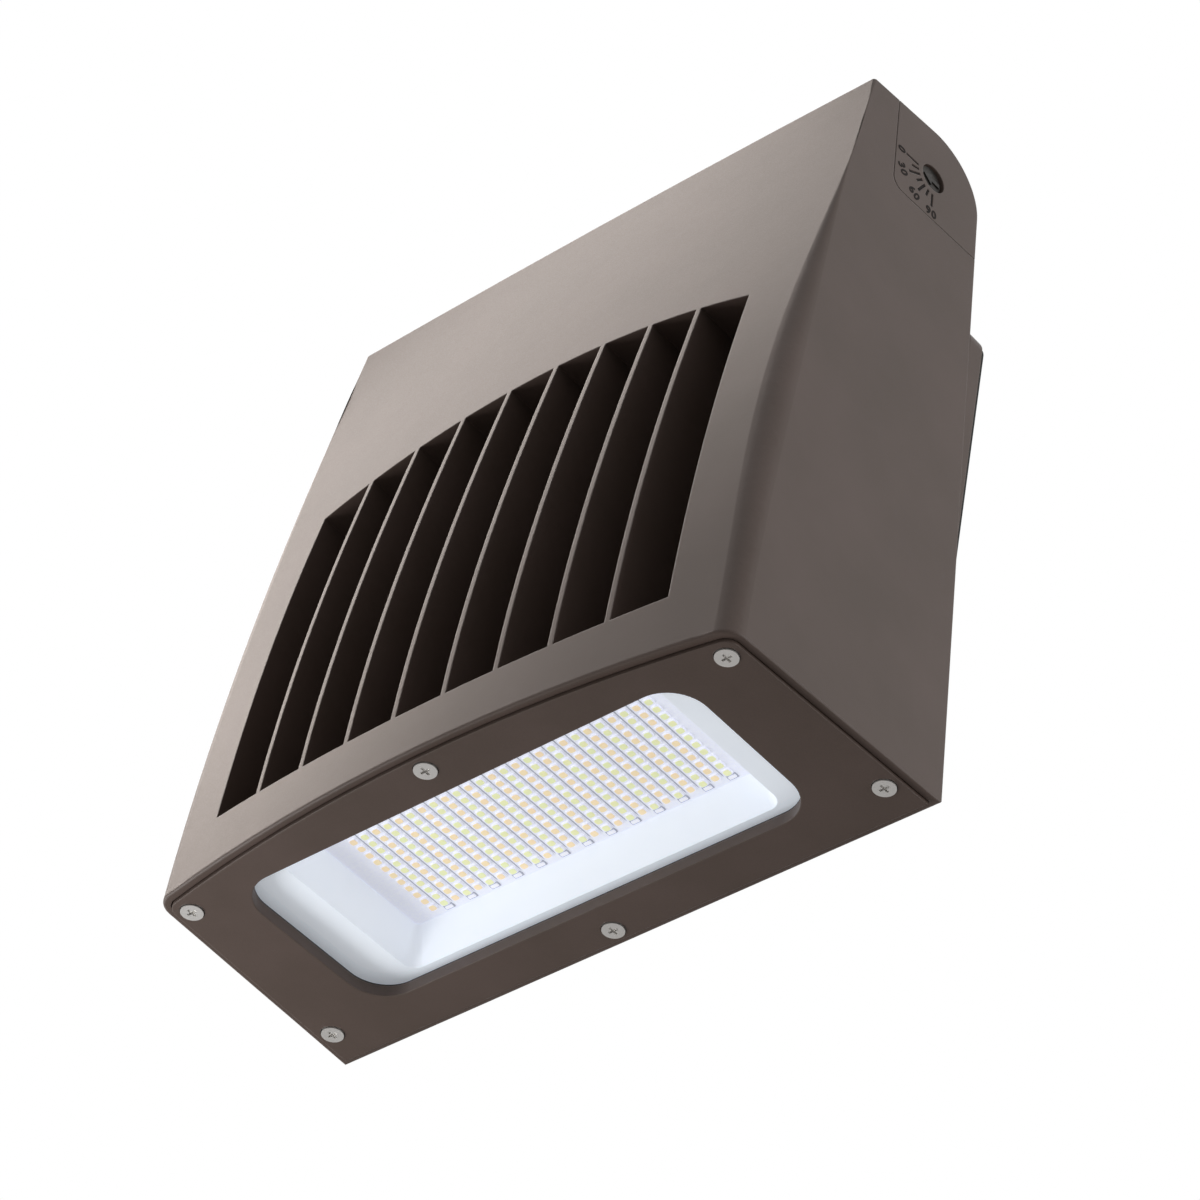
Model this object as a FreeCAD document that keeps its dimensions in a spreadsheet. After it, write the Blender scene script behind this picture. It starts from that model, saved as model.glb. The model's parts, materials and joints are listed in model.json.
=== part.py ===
"""Adjustable LED wall pack light: a wall box with hinge ears and a head that tilts on it.

Millimetres, +Z up.  The origin is the middle of the face that meets the wall: the wall is
the plane Y = 0 and the light stands out towards -Y, with its lens looking down at rest.
Head pieces are drawn in the head's own frame, which has its origin at the middle of the
head's lower rear rim edge.
"""
import FreeCAD, Part
import math
import os
import Sketcher

Vector = FreeCAD.Vector
os.makedirs("parts", exist_ok=True)
doc = FreeCAD.newDocument("wall_pack_light")

# Each line is a driving size: name, millimetres (or degrees, or a count), what it is.
SIZES = (
    ("head_width", 251, "width of the head across its rear edges at the rim"),
    ("head_taper", 2.8, "loss of half width from the rim to the top"),
    ("side_draft", 0.05, "loss of half width for each millimetre forward"),
    ("wall", 3, "wall of the cast head"),
    ("wall_gap", 11.3, "from the wall to the rear edges of the head"),
    ("rim_drop", 167, "from the middle of the wall box down to the rim"),
    ("rim_depth", 98.6, "depth of the head at its front corners, at the rim"),
    ("belly_depth", 96, "same, at the belly"),
    ("belly_height", 40, "height of the belly over the rim"),
    ("knee_height", 90, "height where the front becomes straight"),
    ("knee_depth", 91.8, "depth at the knee"),
    ("brow_height", 190, "height of the upper control section"),
    ("brow_depth", 77, "depth there"),
    ("crown_rise", 27.8, "height of the top section over the pivot, trimmed by the sloped top"),
    ("crown_depth", 57.2, "depth there"),
    ("rim_bulge", 11, "bulge of the front between its corners, at the rim"),
    ("belly_bulge", 11.6, "bulge at the belly"),
    ("knee_bulge", 10, "bulge at the knee"),
    ("brow_bulge", 6.4, "bulge at the upper section"),
    ("crown_bulge", 0.4, "bulge at the top"),
    ("rim_corner", 8, "radius of the front corners at the rim"),
    ("knee_corner", 9, "radius at the knee"),
    ("brow_corner", 4.5, "radius at the upper section"),
    ("crown_corner", 2, "radius at the top"),
    ("inner_corner", 2, "radius of the front corners inside"),
    ("rim_round", 0.9, "rounding of the outer lower edge"),
    ("pivot_depth", 24.1, "from the rear edges forward to the pivot"),
    ("pivot_height", 272.2, "height of the pivot over the rim"),
    ("top_angle", 2.8, "fall of the top towards the front, degrees"),
    ("lip_angle", 50, "where the rear lip of the top ends, degrees over the horizontal"),
    ("grille_half", 95.5, "half width of the fin opening"),
    ("grille_foot", 19.4, "lower edge of the fin opening"),
    ("grille_side_top", 176.5, "upper corners of the fin opening"),
    ("grille_rise", 14.5, "rise of the opening's arched top"),
    ("grille_corner", 2.5, "corner radius of the opening"),
    ("sill_floor", 26, "height of the floor between the fins"),
    ("sill_run", 96, "depth at which the sloped sill reaches that floor"),
    ("recess_depth", 50, "depth of the wall behind the fins"),
    ("fin_count", 8, "number of fins"),
    ("fin_pitch", 21.1, "fin spacing"),
    ("fin_thick", 2, "fin thickness"),
    ("tray_ceiling", 22.6, "underside of the plate that carries the light board"),
    ("chamber_side", 25.5, "side of the light chamber, in from the side of the head"),
    ("chamber_nose", 5.6, "front of the light chamber, behind the head's front corners"),
    ("chamber_rear", 15, "rear of the light chamber"),
    ("chamber_corner", 9, "corner radius of the light chamber"),
    ("bay_top", 105, "top of the driver bay"),
    ("bay_rear", 8, "depth of the bay's rear wall, inner face"),
    ("bay_rim", 4, "depth of the bay's rear wall, outer face"),
    ("hatch_side", 20.5, "side edges of the bay's hatch, in from the side of the head"),
    ("hatch_rise", 8, "lower edge of the hatch, over the bay's floor"),
    ("hatch_drop", 7, "upper edge of the hatch, below the top of the bay"),
    ("hatch_corner", 5, "corner radius of the hatch"),
    ("hatch_seat", 7.6, "width of the seat round the hatch"),
    ("frame_inset", 2.6, "width of the bare rim round the lens frame"),
    ("frame_gap", 0.35, "groove between the rim and the lens frame"),
    ("frame_proud", 1.2, "how far the lens frame stands below the rim"),
    ("frame_thick", 4.3, "thickness of the lens frame"),
    ("seal_thick", 0.8, "thickness of the flat seals"),
    ("window_side", 7, "side edges of the window, in from the light chamber"),
    ("window_nose", 3.2, "front edge of the window, in from the light chamber"),
    ("window_tail", 5, "rear edge of the window, in from the light chamber"),
    ("window_corner", 14, "corner radius of the window"),
    ("glass_side", 2.5, "gap between the glass and the light chamber's side walls"),
    ("glass_nose", 0.9, "same at its front wall"),
    ("glass_tail", 0.3, "same at its rear wall"),
    ("glass_thick", 3, "thickness of the glass"),
    ("bead_thick", 0.5, "thickness of the glass bead"),
    ("screw_radius", 2, "M4 screw shank radius"),
    ("screw_head", 3.9, "M4 screw head radius"),
    ("screw_head_height", 2.4, "M4 screw head height"),
    ("screw_length", 10, "M4 screw shank length"),
    ("thread_gap", 0.05, "radial gap between a screw and its tapped hole"),
    ("recess_reach", 1.9, "reach of the cross recess from the axis"),
    ("recess_width", 0.9, "width of the cross recess"),
    ("hole_slack", 0.25, "radial slack of a screw in its clearance hole"),
    ("hole_spare", 2, "how much deeper a tapped hole is than its screw"),
    ("head_pocket", 1.9, "depth of the countersunk seat of a frame screw"),
    ("front_screw_side", 13.5, "front frame screw, in from the side of the head"),
    ("front_screw_inset", 8.6, "front frame screws, in from the front of the rim"),
    ("rear_screw_side", 9.5, "rear frame screw, in from the side of the head"),
    ("rear_screw_depth", 16.6, "its depth"),
    ("mid_rear_screw_depth", 8.3, "depth of the middle rear frame screw"),
    ("board_half", 76, "half width of the light board"),
    ("board_front", 85.5, "front edge of the light board"),
    ("board_rear", 23.5, "rear edge of the light board"),
    ("board_thick", 1.6, "thickness of the light board"),
    ("pad_thick", 0.3, "thickness of the heat pad"),
    ("column_count", 26, "columns of light chips"),
    ("column_pitch", 5, "column spacing"),
    ("column_width", 2.6, "width of a chip"),
    ("column_front", 79.3, "front end of the columns"),
    ("column_rear", 29.1, "rear end of the columns"),
    ("chip_height", 0.7, "height of a chip"),
    ("lug_width", 3.2, "width of the solder lug at a column's end"),
    ("lug_length", 2.1, "length of a lug"),
    ("lug_gap", 0.2, "from a column's end to its lug"),
    ("tray_half", 73.4, "half width of the reflector's floor opening"),
    ("tray_front", 83, "front of the floor opening"),
    ("tray_rear", 26, "rear of the floor opening"),
    ("tray_side_flare", 5.1, "how far the side walls lean out"),
    ("tray_end_flare", 5.8, "how far the front and rear walls lean out"),
    ("tray_lip", 7.9, "height of the reflector's lip over the rim"),
    ("tray_foot_gap", 0.3, "from the reflector's foot to the board"),
    ("tray_sheet", 0.8, "thickness of the reflector"),
    ("tray_corner", 2, "corner radius of the reflector's walls at the board"),
    ("tray_lip_corner", 5, "corner radius of its lip"),
    ("tray_flange_gap", 1.2, "from the reflector's flange to the light chamber's walls"),
    ("driver_length", 170, "length of the driver"),
    ("driver_height", 62, "height of the driver"),
    ("driver_depth", 32, "thickness of the driver"),
    ("driver_rise", 7, "underside of the driver over the bay's floor"),
    ("driver_corner", 3, "corner radius of the driver"),
    ("tab_length", 10, "length of a driver mounting tab"),
    ("tab_thick", 2, "thickness of a tab"),
    ("driver_screw_bite", 2.4, "how far a driver screw reaches into the wall"),
    ("cover_thick", 3, "thickness of the bay cover"),
    ("cover_gap", 0.4, "gap between the bay cover and its recess"),
    ("bay_screw_radius", 1.5, "M3 screw shank radius"),
    ("bay_screw_head", 2.9, "M3 screw head radius"),
    ("bay_screw_head_height", 1.9, "M3 screw head height"),
    ("bay_screw_length", 7, "M3 screw shank length"),
    ("switch_inset", 35, "selector switch, in from the side edge of the hatch"),
    ("switch_height", 60, "selector switch, height over the rim"),
    ("switch_length", 24, "length of the switch body"),
    ("switch_width", 10, "height of the switch body"),
    ("switch_deep", 9, "depth of the switch body"),
    ("knob_width", 5, "width of the selector knob"),
    ("knob_height", 6, "height of the knob"),
    ("knob_proud", 2, "how far the knob stands out of the cover"),
    ("knob_travel", 3, "travel of the knob to each side"),
    ("slack", 0.3, "running clearance"),
    ("grommet_radius", 7, "wire grommet, radius in its hole"),
    ("grommet_lip", 2, "how far its lips reach past the hole"),
    ("grommet_flange", 1.2, "thickness of a lip"),
    ("grommet_bore", 4.5, "radius of the wire way"),
    ("grommet_side", 60, "wire way, from the middle"),
    ("grommet_depth", 19, "wire way, depth behind the rear edges"),
    ("pad_inset", 10, "inner face of the pad under the dial, in from the side of the head"),
    ("dial_inset", 6.2, "floor of the dial recess, in from the side of the head"),
    ("boss_inset", 14.2, "inner face of the pivot boss, in from the side of the head"),
    ("boss_radius", 15, "radius of the pivot boss"),
    ("dial_reach", 20.3, "front edge of the dial panel, forward of the pivot"),
    ("dial_drop", 21, "lower edge of the dial panel, below the pivot"),
    ("dial_corner", 5, "corner radius of the dial panel"),
    ("dial_gap", 0.35, "seam round the dial panel"),
    ("dial_margin", 3, "width of the pad round the dial recess"),
    ("dial_hole", 5.75, "radius of the hole in the dial panel"),
    ("mark_from", 8, "where the dial marks begin, from the pivot"),
    ("mark_long", 14.7, "where a long mark ends"),
    ("mark_short", 12, "where a short mark ends"),
    ("mark_width", 1.1, "width of a dial mark"),
    ("mark_deep", 0.45, "depth of a dial mark below the drafted face"),
    ("mark_step", 15, "angle between marks, degrees"),
    ("mark_count", 7, "number of marks"),
    ("box_top", 55, "upper and lower faces of the wall box, from its middle"),
    ("flange_top_inset", 3.2, "upper corners of the flange, in from the side of the head"),
    ("flange_foot_inset", 9.6, "lower corners of the flange, in from the side of the head"),
    ("box_corner", 8, "corner radius of the flange"),
    ("flange_thick", 7, "thickness of the flange"),
    ("seal_rear", 2, "thickness of the wall seal"),
    ("seal_inset", 1, "inset of the wall seal"),
    ("box_inset", 2.4, "side of the wall box, in from the outer face of its ear"),
    ("box_reach", 46.3, "depth of the wall box, wall to cover seat"),
    ("box_wall", 3, "wall of the wall box"),
    ("box_post", 6, "radius of the screw posts in the wall box"),
    ("box_screw_inset", 9.5, "cover screws, in from the walls of the box"),
    ("post_margin", 0.5, "how far the box seal reaches past the screw posts"),
    ("ear_thick", 6, "thickness of a hinge ear"),
    ("ear_gap", 0.9, "room between a hinge ear and its boss, for the toothed washer"),
    ("ear_radius", 17, "radius of a hinge ear"),
    ("ear_front", 12, "ear neck, forward of the pivot"),
    ("ear_back", 9, "ear neck, behind the pivot"),
    ("pin_radius", 5, "radius of the pivot bolt"),
    ("pin_fit", 0.1, "radial clearance of the bolt in the ear"),
    ("washer_radius", 11, "radius of the toothed washer"),
    ("washer_gap", 0.05, "air on each side of the toothed washer"),
    ("pointer_radius", 5.4, "radius of the pointer disc"),
    ("pointer_inset", 4.9, "outer face of the pointer disc, in from the side of the head"),
    ("pointer_thick", 1, "thickness of the pointer disc"),
    ("arrow_rise", 0.5, "height of the arrow on the disc"),
    ("arrow_inset", 1, "from the arrow's ends to the edge of the disc"),
    ("bolt_end", 2, "how far the pivot bolt stands out of its nut"),
    ("nut_flats", 17, "width across the flats of the pivot nut"),
    ("nut_thick", 8, "thickness of the pivot nut"),
    ("anchor_side", 95, "wall screw hole, from the middle"),
    ("anchor_height", 38, "wall screw hole, from the middle"),
    ("anchor_radius", 3.25, "wall screw hole radius"),
    ("junction_side", 44.45, "junction box screw hole, from the middle"),
    ("junction_radius", 2.5, "junction box screw hole radius"),
    ("entry_radius", 14, "cable entry radius"),
    ("entry_drop", 22, "cable entry, below the middle"),
    ("seal_hole_margin", 0.75, "how much wider the wall seal's holes are"),
    ("ground_side", 70, "earth screw, from the middle"),
    ("ground_height", 25, "earth screw, from the middle"),
    ("ground_post", 6, "height of the earth screw's post"),
)

sheet = doc.addObject("Spreadsheet::Sheet", "Sizes")
for row, (alias, size, note) in enumerate(SIZES, start=1):
    sheet.set("A%d" % row, note)
    sheet.set("B%d" % row, str(size))
    sheet.setAlias("B%d" % row, alias)
doc.recompute()


class Dim:
    """A length with its present value and the expression that gives it."""

    def __init__(self, value, text):
        self.value = float(value)
        self.text = text

    def joined(self, sign, other, value):
        return Dim(value, "(%s %s %s)" % (self.text, sign, other.text))

    def __add__(self, other):
        other = as_dim(other)
        return self.joined("+", other, self.value + other.value)

    def __sub__(self, other):
        other = as_dim(other)
        return self.joined("-", other, self.value - other.value)

    def __mul__(self, other):
        other = as_dim(other)
        return self.joined("*", other, self.value * other.value)

    def __truediv__(self, other):
        other = as_dim(other)
        return self.joined("/", other, self.value / other.value)

    def __neg__(self):
        return Dim(-self.value, "(0 - %s)" % self.text)


def as_dim(number):
    """A plain number as a Dim; a Dim stays as it is."""
    if isinstance(number, Dim):
        return number
    return Dim(number, "(%r)" % float(number))


def size(alias):
    """The named cell of the sheet."""
    return Dim(sheet.get(alias), "Sizes." + alias)


def sine(angle):
    """Sine of an angle in degrees."""
    angle = as_dim(angle)
    return Dim(math.sin(math.radians(angle.value)), "sin(%s * 1 deg)" % angle.text)


def cosine(angle):
    """Cosine of an angle in degrees."""
    angle = as_dim(angle)
    return Dim(math.cos(math.radians(angle.value)), "cos(%s * 1 deg)" % angle.text)


def bind(item, prop, length):
    """Tie a property to the sheet."""
    item.setExpression(prop, as_dim(length).text)


def new_body(label):
    """An empty body with this label."""
    body = doc.addObject("PartDesign::Body", label)
    body.Label = label
    return body


def new_sketch(body, plane, lift):
    """A sketch on one of the body's origin planes, lifted along that plane's normal."""
    sketch = body.newObject("Sketcher::SketchObject", body.Name + "_sketch")
    support = [f for f in body.Origin.OriginFeatures if f.Role == plane][0]
    sketch.AttachmentSupport = [(support, "")]
    sketch.MapMode = "FlatFace"
    bind(sketch, "AttachmentOffset.Base.z", lift)
    return sketch


def pin_point(sketch, geometry, end, x, y):
    """Hold one point of the sketch at (x, y)."""
    for kind, length in (("DistanceX", x), ("DistanceY", y)):
        length = as_dim(length)
        number = sketch.addConstraint(
            Sketcher.Constraint(kind, -1, 1, geometry, end, length.value))
        sketch.setExpression("Constraints[%d]" % number, length.text)


def pin_radius(sketch, geometry, radius):
    """Hold the radius of an arc or circle."""
    radius = as_dim(radius)
    number = sketch.addConstraint(Sketcher.Constraint("Radius", geometry, radius.value))
    sketch.setExpression("Constraints[%d]" % number, radius.text)


def arc_middle(start, end, bend):
    """Middle point of the short arc; a positive bend turns to the left."""
    chord = end - start
    radius = abs(bend)
    left = Vector(-chord.y, chord.x, 0).normalize()
    if bend < 0:
        left = left * -1
    sink = math.sqrt(max(radius ** 2 - (chord.Length / 2) ** 2, 0))
    return (start + end) * 0.5 - left * (radius - sink)


def outline(sketch, corners):
    """Closed outline; each corner is (x, y, bend) and bend rounds the side that follows."""
    corners = [(as_dim(x), as_dim(y), bend) for x, y, bend in corners]
    flat = [Vector(x.value, y.value, 0) for x, y, bend in corners]
    first = sketch.GeometryCount
    ends = []
    for number, (x, y, bend) in enumerate(corners):
        start, end = flat[number], flat[(number + 1) % len(flat)]
        if bend is None:
            sketch.addGeometry(Part.LineSegment(start, end), False)
            ends.append((1, 2))
        else:
            middle = arc_middle(start, end, as_dim(bend).value)
            turn = (start, end) if as_dim(bend).value > 0 else (end, start)
            sketch.addGeometry(Part.Arc(turn[0], middle, turn[1]), False)
            ends.append((1, 2) if as_dim(bend).value > 0 else (2, 1))
    for number, (x, y, bend) in enumerate(corners):
        before = (number - 1) % len(corners)
        sketch.addConstraint(Sketcher.Constraint(
            "Coincident", first + before, ends[before][1], first + number, ends[number][0]))
        pin_point(sketch, first + number, ends[number][0], x, y)
        if bend is not None:
            radius = as_dim(bend)
            pin_radius(sketch, first + number, radius if radius.value > 0 else -radius)


def circle(sketch, x, y, radius):
    """One circle."""
    x, y, radius = as_dim(x), as_dim(y), as_dim(radius)
    number = sketch.addGeometry(
        Part.Circle(Vector(x.value, y.value, 0), Vector(0, 0, 1), radius.value), False)
    pin_point(sketch, number, 3, x, y)
    pin_radius(sketch, number, radius)


def rectangle(left, right, foot, top):
    """Corners of a plain rectangle."""
    return [(left, foot, None), (right, foot, None), (right, top, None), (left, top, None)]


def rounded(left, right, foot, top, radius):
    """Corners of a rectangle with round corners."""
    left, right, foot, top = as_dim(left), as_dim(right), as_dim(foot), as_dim(top)
    return [
        (left + radius, foot, None), (right - radius, foot, radius),
        (right, foot + radius, None), (right, top - radius, radius),
        (right - radius, top, None), (left + radius, top, radius),
        (left, top - radius, None), (left, foot + radius, radius)]


def solid(body, plane, low, high, draw, cut=False):
    """Pad or pocket between two levels of the axis across the plane."""
    low, high = as_dim(low), as_dim(high)
    forward = plane != "XZ_Plane"
    if cut:
        lift = high if forward else -low
    else:
        lift = low if forward else -high
    sketch = new_sketch(body, plane, lift)
    draw(sketch)
    kind = "PartDesign::Pocket" if cut else "PartDesign::Pad"
    feature = body.newObject(kind, body.Name + ("_pocket" if cut else "_pad"))
    feature.Profile = sketch
    bind(feature, "Length", high - low)
    return feature


def pocket(body, plane, low, high, draw):
    """Pocket between two levels."""
    return solid(body, plane, low, high, draw, cut=True)


def draw_outline(corners):
    """Drawing step for one closed outline."""
    return lambda sketch: outline(sketch, corners)


def draw_circles(places):
    """Drawing step for a set of circles given as (x, y, radius)."""
    def draw(sketch):
        for x, y, radius in places:
            circle(sketch, x, y, radius)
    return draw


def combine(kind, label, base, tool):
    """Boolean of two shapes."""
    result = doc.addObject(kind, label)
    result.Base = base
    result.Tool = tool
    return result


def gather(kind, label, shapes):
    """Fuse or group several shapes."""
    result = doc.addObject(kind, label)
    if kind == "Part::Compound":
        result.Links = shapes
    else:
        result.Shapes = shapes
    return result


def mirror_x(label, source):
    """The other hand of a piece."""
    twin = doc.addObject("Part::Mirroring", label)
    twin.Source = source
    twin.Normal = Vector(1, 0, 0)
    return twin


def copies(label, source, places, plane_turn=None):
    """One node of identical separate pieces at (x, y, z) places."""
    links = []
    for x, y, z in places:
        link = doc.addObject("App::Link", label + "_copy")
        link.LinkedObject = source
        link.LinkTransform = True
        if plane_turn is not None:
            link.Placement = FreeCAD.Placement(Vector(), plane_turn)
        for axis, place in (("x", x), ("y", y), ("z", z)):
            link.setExpression("Placement.Base." + axis, as_dim(place).text)
        links.append(link)
    return gather("Part::Compound", label, links)


NODES = []


def to_head(item):
    """Carry a piece drawn in the head's frame to its place on the wall box."""
    item.setExpression("Placement.Base.y", "-Sizes.wall_gap")
    item.setExpression("Placement.Base.z", "-Sizes.rim_drop")
    NODES.append(item)


def to_box(item):
    """A piece of the wall box is drawn in the part's own frame."""
    NODES.append(item)


# ---------------------------------------------------------------- shared places
ZERO = as_dim(0)
FAR = 400  # well past the light, for cuts that run right through
CLEAR = 10  # how far a cut runs out past the face that it opens
OVERLAP = 1  # how far a piece runs into what it is joined to
SIDE = size("head_width") / 2
PIVOT_Y = -size("pivot_depth")
PIVOT_Z = size("pivot_height")
CROWN_HEIGHT = PIVOT_Z + size("crown_rise")
PAD_FACE = SIDE - size("pad_inset")
DIAL_FLOOR = SIDE - size("dial_inset")
BOSS_FACE = SIDE - size("boss_inset")
EAR_FACE = BOSS_FACE - size("ear_gap")
POINTER_FACE = SIDE - size("pointer_inset")
CHAMBER_HALF = SIDE - size("chamber_side")
CHAMBER_FRONT = size("rim_depth") - size("chamber_nose")
CHAMBER_REAR = size("chamber_rear")
HATCH_HALF = SIDE - size("hatch_side")
HATCH_FOOT = size("sill_floor") + size("hatch_rise")
HATCH_TOP = size("bay_top") - size("hatch_drop")
SWITCH_SIDE = HATCH_HALF - size("switch_inset")


# ---------------------------------------------------------------- the cast head
SECTIONS = (
    (ZERO, "rim", "rim_corner"),
    (size("belly_height"), "belly", "rim_corner"),
    (size("knee_height"), "knee", "knee_corner"),
    (size("brow_height"), "brow", "brow_corner"),
    (CROWN_HEIGHT, "crown", "crown_corner"),
)


def section_corners(height, name, corner, inset, back):
    """Plan of the head at one height: straight back, drafted sides, bulged front."""
    draft = size("side_draft")
    taper = size("head_taper") * height / CROWN_HEIGHT
    half = SIDE - taper - inset
    depth = size(name + "_depth") - inset
    bulge = size(name + "_bulge")
    edge = half - draft * depth
    square = edge * edge + bulge * bulge
    lean = edge * bulge * 2 / square
    level = (edge * edge - bulge * bulge) / square
    turn = draft * level + lean
    trim = corner * (level - draft * lean) / (turn + 1)
    side = edge + draft * trim
    front = edge - level * trim
    nose = depth + lean * trim
    rear = half + draft * back
    radius = square / (bulge * 2)
    return [
        (-rear, back, None),
        (-side, trim - depth, corner),
        (-front, -nose, radius),
        (front, -nose, corner),
        (side, trim - depth, None),
        (rear, back, None),
    ]


def head_loft(label, inset, back, corner=None):
    """Body of the head between its sections, inset for the hollow."""
    body = new_body(label)
    sketches = []
    for height, name, radius in SECTIONS:
        bend = corner if corner is not None else size(radius)
        sketch = new_sketch(body, "XY_Plane", height)
        outline(sketch, section_corners(height, name, bend, as_dim(inset), as_dim(back)))
        sketches.append(sketch)
    doc.recompute()
    loft = body.newObject("PartDesign::AdditiveLoft", label + "_loft")
    loft.Profile = sketches[0]
    loft.Sections = sketches[1:]
    loft.Ruled = False
    return body


def crown_point(radius, angle):
    """Point on a circle round the pivot, degrees up from the rear."""
    return PIVOT_Y + radius * cosine(angle), PIVOT_Z + radius * sine(angle)


def top_slope_end(radius):
    """Where the sloped top, tangent to that circle, passes the far front."""
    angle = size("top_angle")
    start_y, start_z = crown_point(radius, angle + 90)
    run = start_y + FAR
    return start_z - run * sine(angle) / cosine(angle)


def outside_crown():
    """Side view of what the sloped top and the rear arc trim from the head."""
    radius = size("pivot_depth")
    start_y, start_z = crown_point(radius, size("top_angle") + 90)
    return [
        (0, PIVOT_Z, radius), (start_y, start_z, None), (-FAR, top_slope_end(radius), None),
        (-FAR, FAR + FAR, None), (FAR, FAR + FAR, None), (FAR, PIVOT_Z, None)]


def outside_hollow():
    """Same for the hollow: it stays inside the top and runs out behind the lip."""
    outer = size("pivot_depth")
    inner = outer - size("wall")
    lip = size("lip_angle")
    start_y, start_z = crown_point(inner, size("top_angle") + 90)
    tip_y, tip_z = crown_point(outer, lip)
    root_y, root_z = crown_point(inner, lip)
    return [
        (tip_y, tip_z, None), (root_y, root_z, inner), (start_y, start_z, None),
        (-FAR, top_slope_end(inner), None), (-FAR, FAR + FAR, None),
        (FAR, FAR + FAR, None), (FAR, tip_z, None)]


def grille_front(grow):
    """Front view of the fin opening, grown by a wall."""
    half = size("grille_half") + grow
    foot = size("grille_foot") - grow
    side = size("grille_side_top") + grow
    rise = size("grille_rise")
    corner = size("grille_corner")
    radius = (half * half + rise * rise) / (rise * 2)
    return [
        (corner - half, foot, None), (half - corner, foot, corner),
        (half, foot + corner, None), (half, side, radius),
        (-half, side, None), (-half, foot + corner, corner)]


def hollow(label, foot, top, rear):
    """Hollow of the head between two levels, clear of the fins' block."""
    body = head_loft(label, size("wall"), CLEAR, size("inner_corner"))
    every = draw_outline(rectangle(-FAR, FAR, -FAR, FAR))
    pocket(body, "XY_Plane", -FAR, foot, every)
    if top is None:
        pocket(body, "YZ_Plane", -FAR, FAR, draw_outline(outside_hollow()))
    else:
        pocket(body, "XY_Plane", top, FAR, every)
    if rear is not None:
        pocket(body, "XZ_Plane", rear, FAR, every)
    block = size("recess_depth")
    pocket(body, "XZ_Plane", -FAR, -block + size("wall"),
           draw_outline(grille_front(size("wall"))))
    return body


def fin_slots():
    """The air slots: the arched recess with the fins left standing in it."""
    recess = new_body("slot_recess")
    solid(recess, "XZ_Plane", -FAR, -size("recess_depth"), draw_outline(grille_front(0)))
    sill = draw_outline([
        (-FAR, -FAR, None), (FAR, -FAR, None), (FAR, size("sill_floor"), None),
        (-size("sill_run"), size("sill_floor"), None),
        (-size("rim_depth") - size("rim_bulge"), size("grille_foot"), None),
        (-FAR, size("grille_foot"), None)])
    pocket(recess, "YZ_Plane", -FAR, FAR, sill)
    count = int(size("fin_count").value)
    for number in range(count):
        middle = size("fin_pitch") * (number - (count - 1) / 2)
        half = size("fin_thick") / 2
        pocket(recess, "XZ_Plane", -FAR, 0,
               draw_outline(rectangle(middle - half, middle + half, -FAR, FAR)))
    return recess


def frame_screw_places():
    """The six screws of the lens frame in plan."""
    front, rear = SIDE - size("front_screw_side"), SIDE - size("rear_screw_side")
    corner_y = size("front_screw_inset") - size("rim_depth")
    return [
        (-front, corner_y), (front, corner_y),
        (-rear, -size("rear_screw_depth")), (rear, -size("rear_screw_depth")),
        (ZERO, corner_y - size("rim_bulge")), (ZERO, -size("mid_rear_screw_depth"))]


def rim_plan(inset, back_inset):
    """Plan of the rim, inset evenly, for the lens frame and its seat."""
    corner = size("rim_corner") - inset
    return section_corners(ZERO, "rim", corner, inset, -as_dim(back_inset))


def chamber_plan(side, front, rear):
    """Plan of the light chamber, drawn in by these margins."""
    half = CHAMBER_HALF - side
    return rounded(-half, half, as_dim(front) - CHAMBER_FRONT, -CHAMBER_REAR - rear,
                   size("chamber_corner"))


SEAT = size("frame_thick") - size("frame_proud") + size("seal_thick")


def light_chamber():
    """What is cut from the head below the board plate: frame seat, chamber, screw holes."""
    body = new_body("light_chamber")
    solid(body, "XY_Plane", -CLEAR, SEAT,
          draw_outline(rim_plan(size("frame_inset"), size("frame_inset"))))
    solid(body, "XY_Plane", 0, size("tray_ceiling"), draw_outline(chamber_plan(0, 0, 0)))
    bite = size("screw_length") - size("frame_thick") + size("head_pocket")
    depth = bite + size("hole_spare")
    tapped = size("screw_radius") + size("thread_gap")
    solid(body, "XY_Plane", 0, SEAT + depth,
          draw_circles([(x, y, tapped) for x, y in frame_screw_places()]))
    return body


def bay_screw_places():
    """The six screws of the bay cover, seen from behind: x and height."""
    side = HATCH_HALF + size("hatch_seat") / 2
    low = HATCH_FOOT - size("hatch_seat") / 2
    high = HATCH_TOP + size("hatch_seat") / 2
    return [(x, z) for x in (-side, ZERO, side) for z in (low, high)]


def hatch_plan(grow, corner):
    """Rear view of the hatch, grown by a margin."""
    half = HATCH_HALF + grow
    return rounded(-half, half, HATCH_FOOT - grow, HATCH_TOP + grow, corner)


def hatch_cuts():
    """What is cut through the rear wall: hatch, cover seat, screw holes."""
    body = new_body("hatch_cuts")
    corner = size("hatch_corner")
    solid(body, "XZ_Plane", -size("bay_rear") - OVERLAP, CLEAR,
          draw_outline(hatch_plan(0, corner)))
    solid(body, "XZ_Plane", -size("bay_rim"), CLEAR,
          draw_outline(hatch_plan(size("hatch_seat"), corner)))
    tapped = size("bay_screw_radius") + size("thread_gap")
    solid(body, "XZ_Plane", -size("bay_rim") - size("bay_screw_length"), CLEAR,
          draw_circles([(x, z, tapped) for x, z in bay_screw_places()]))
    return body


def dial_panel(grow):
    """Side view of the dial panel, grown or shrunk: it runs out past the rear and top."""
    front = PIVOT_Y - size("dial_reach") - grow
    foot = PIVOT_Z - size("dial_drop") - grow
    corner = size("dial_corner")
    return [
        (front + corner, foot, None), (FAR, foot, None), (FAR, FAR + FAR, None),
        (front, FAR + FAR, None), (front, foot + corner, corner)]


def side_tool(label, plan, low, high):
    """Prism across one side of the head."""
    body = new_body(label)
    solid(body, "YZ_Plane", low, high, plan)
    return body


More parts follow.
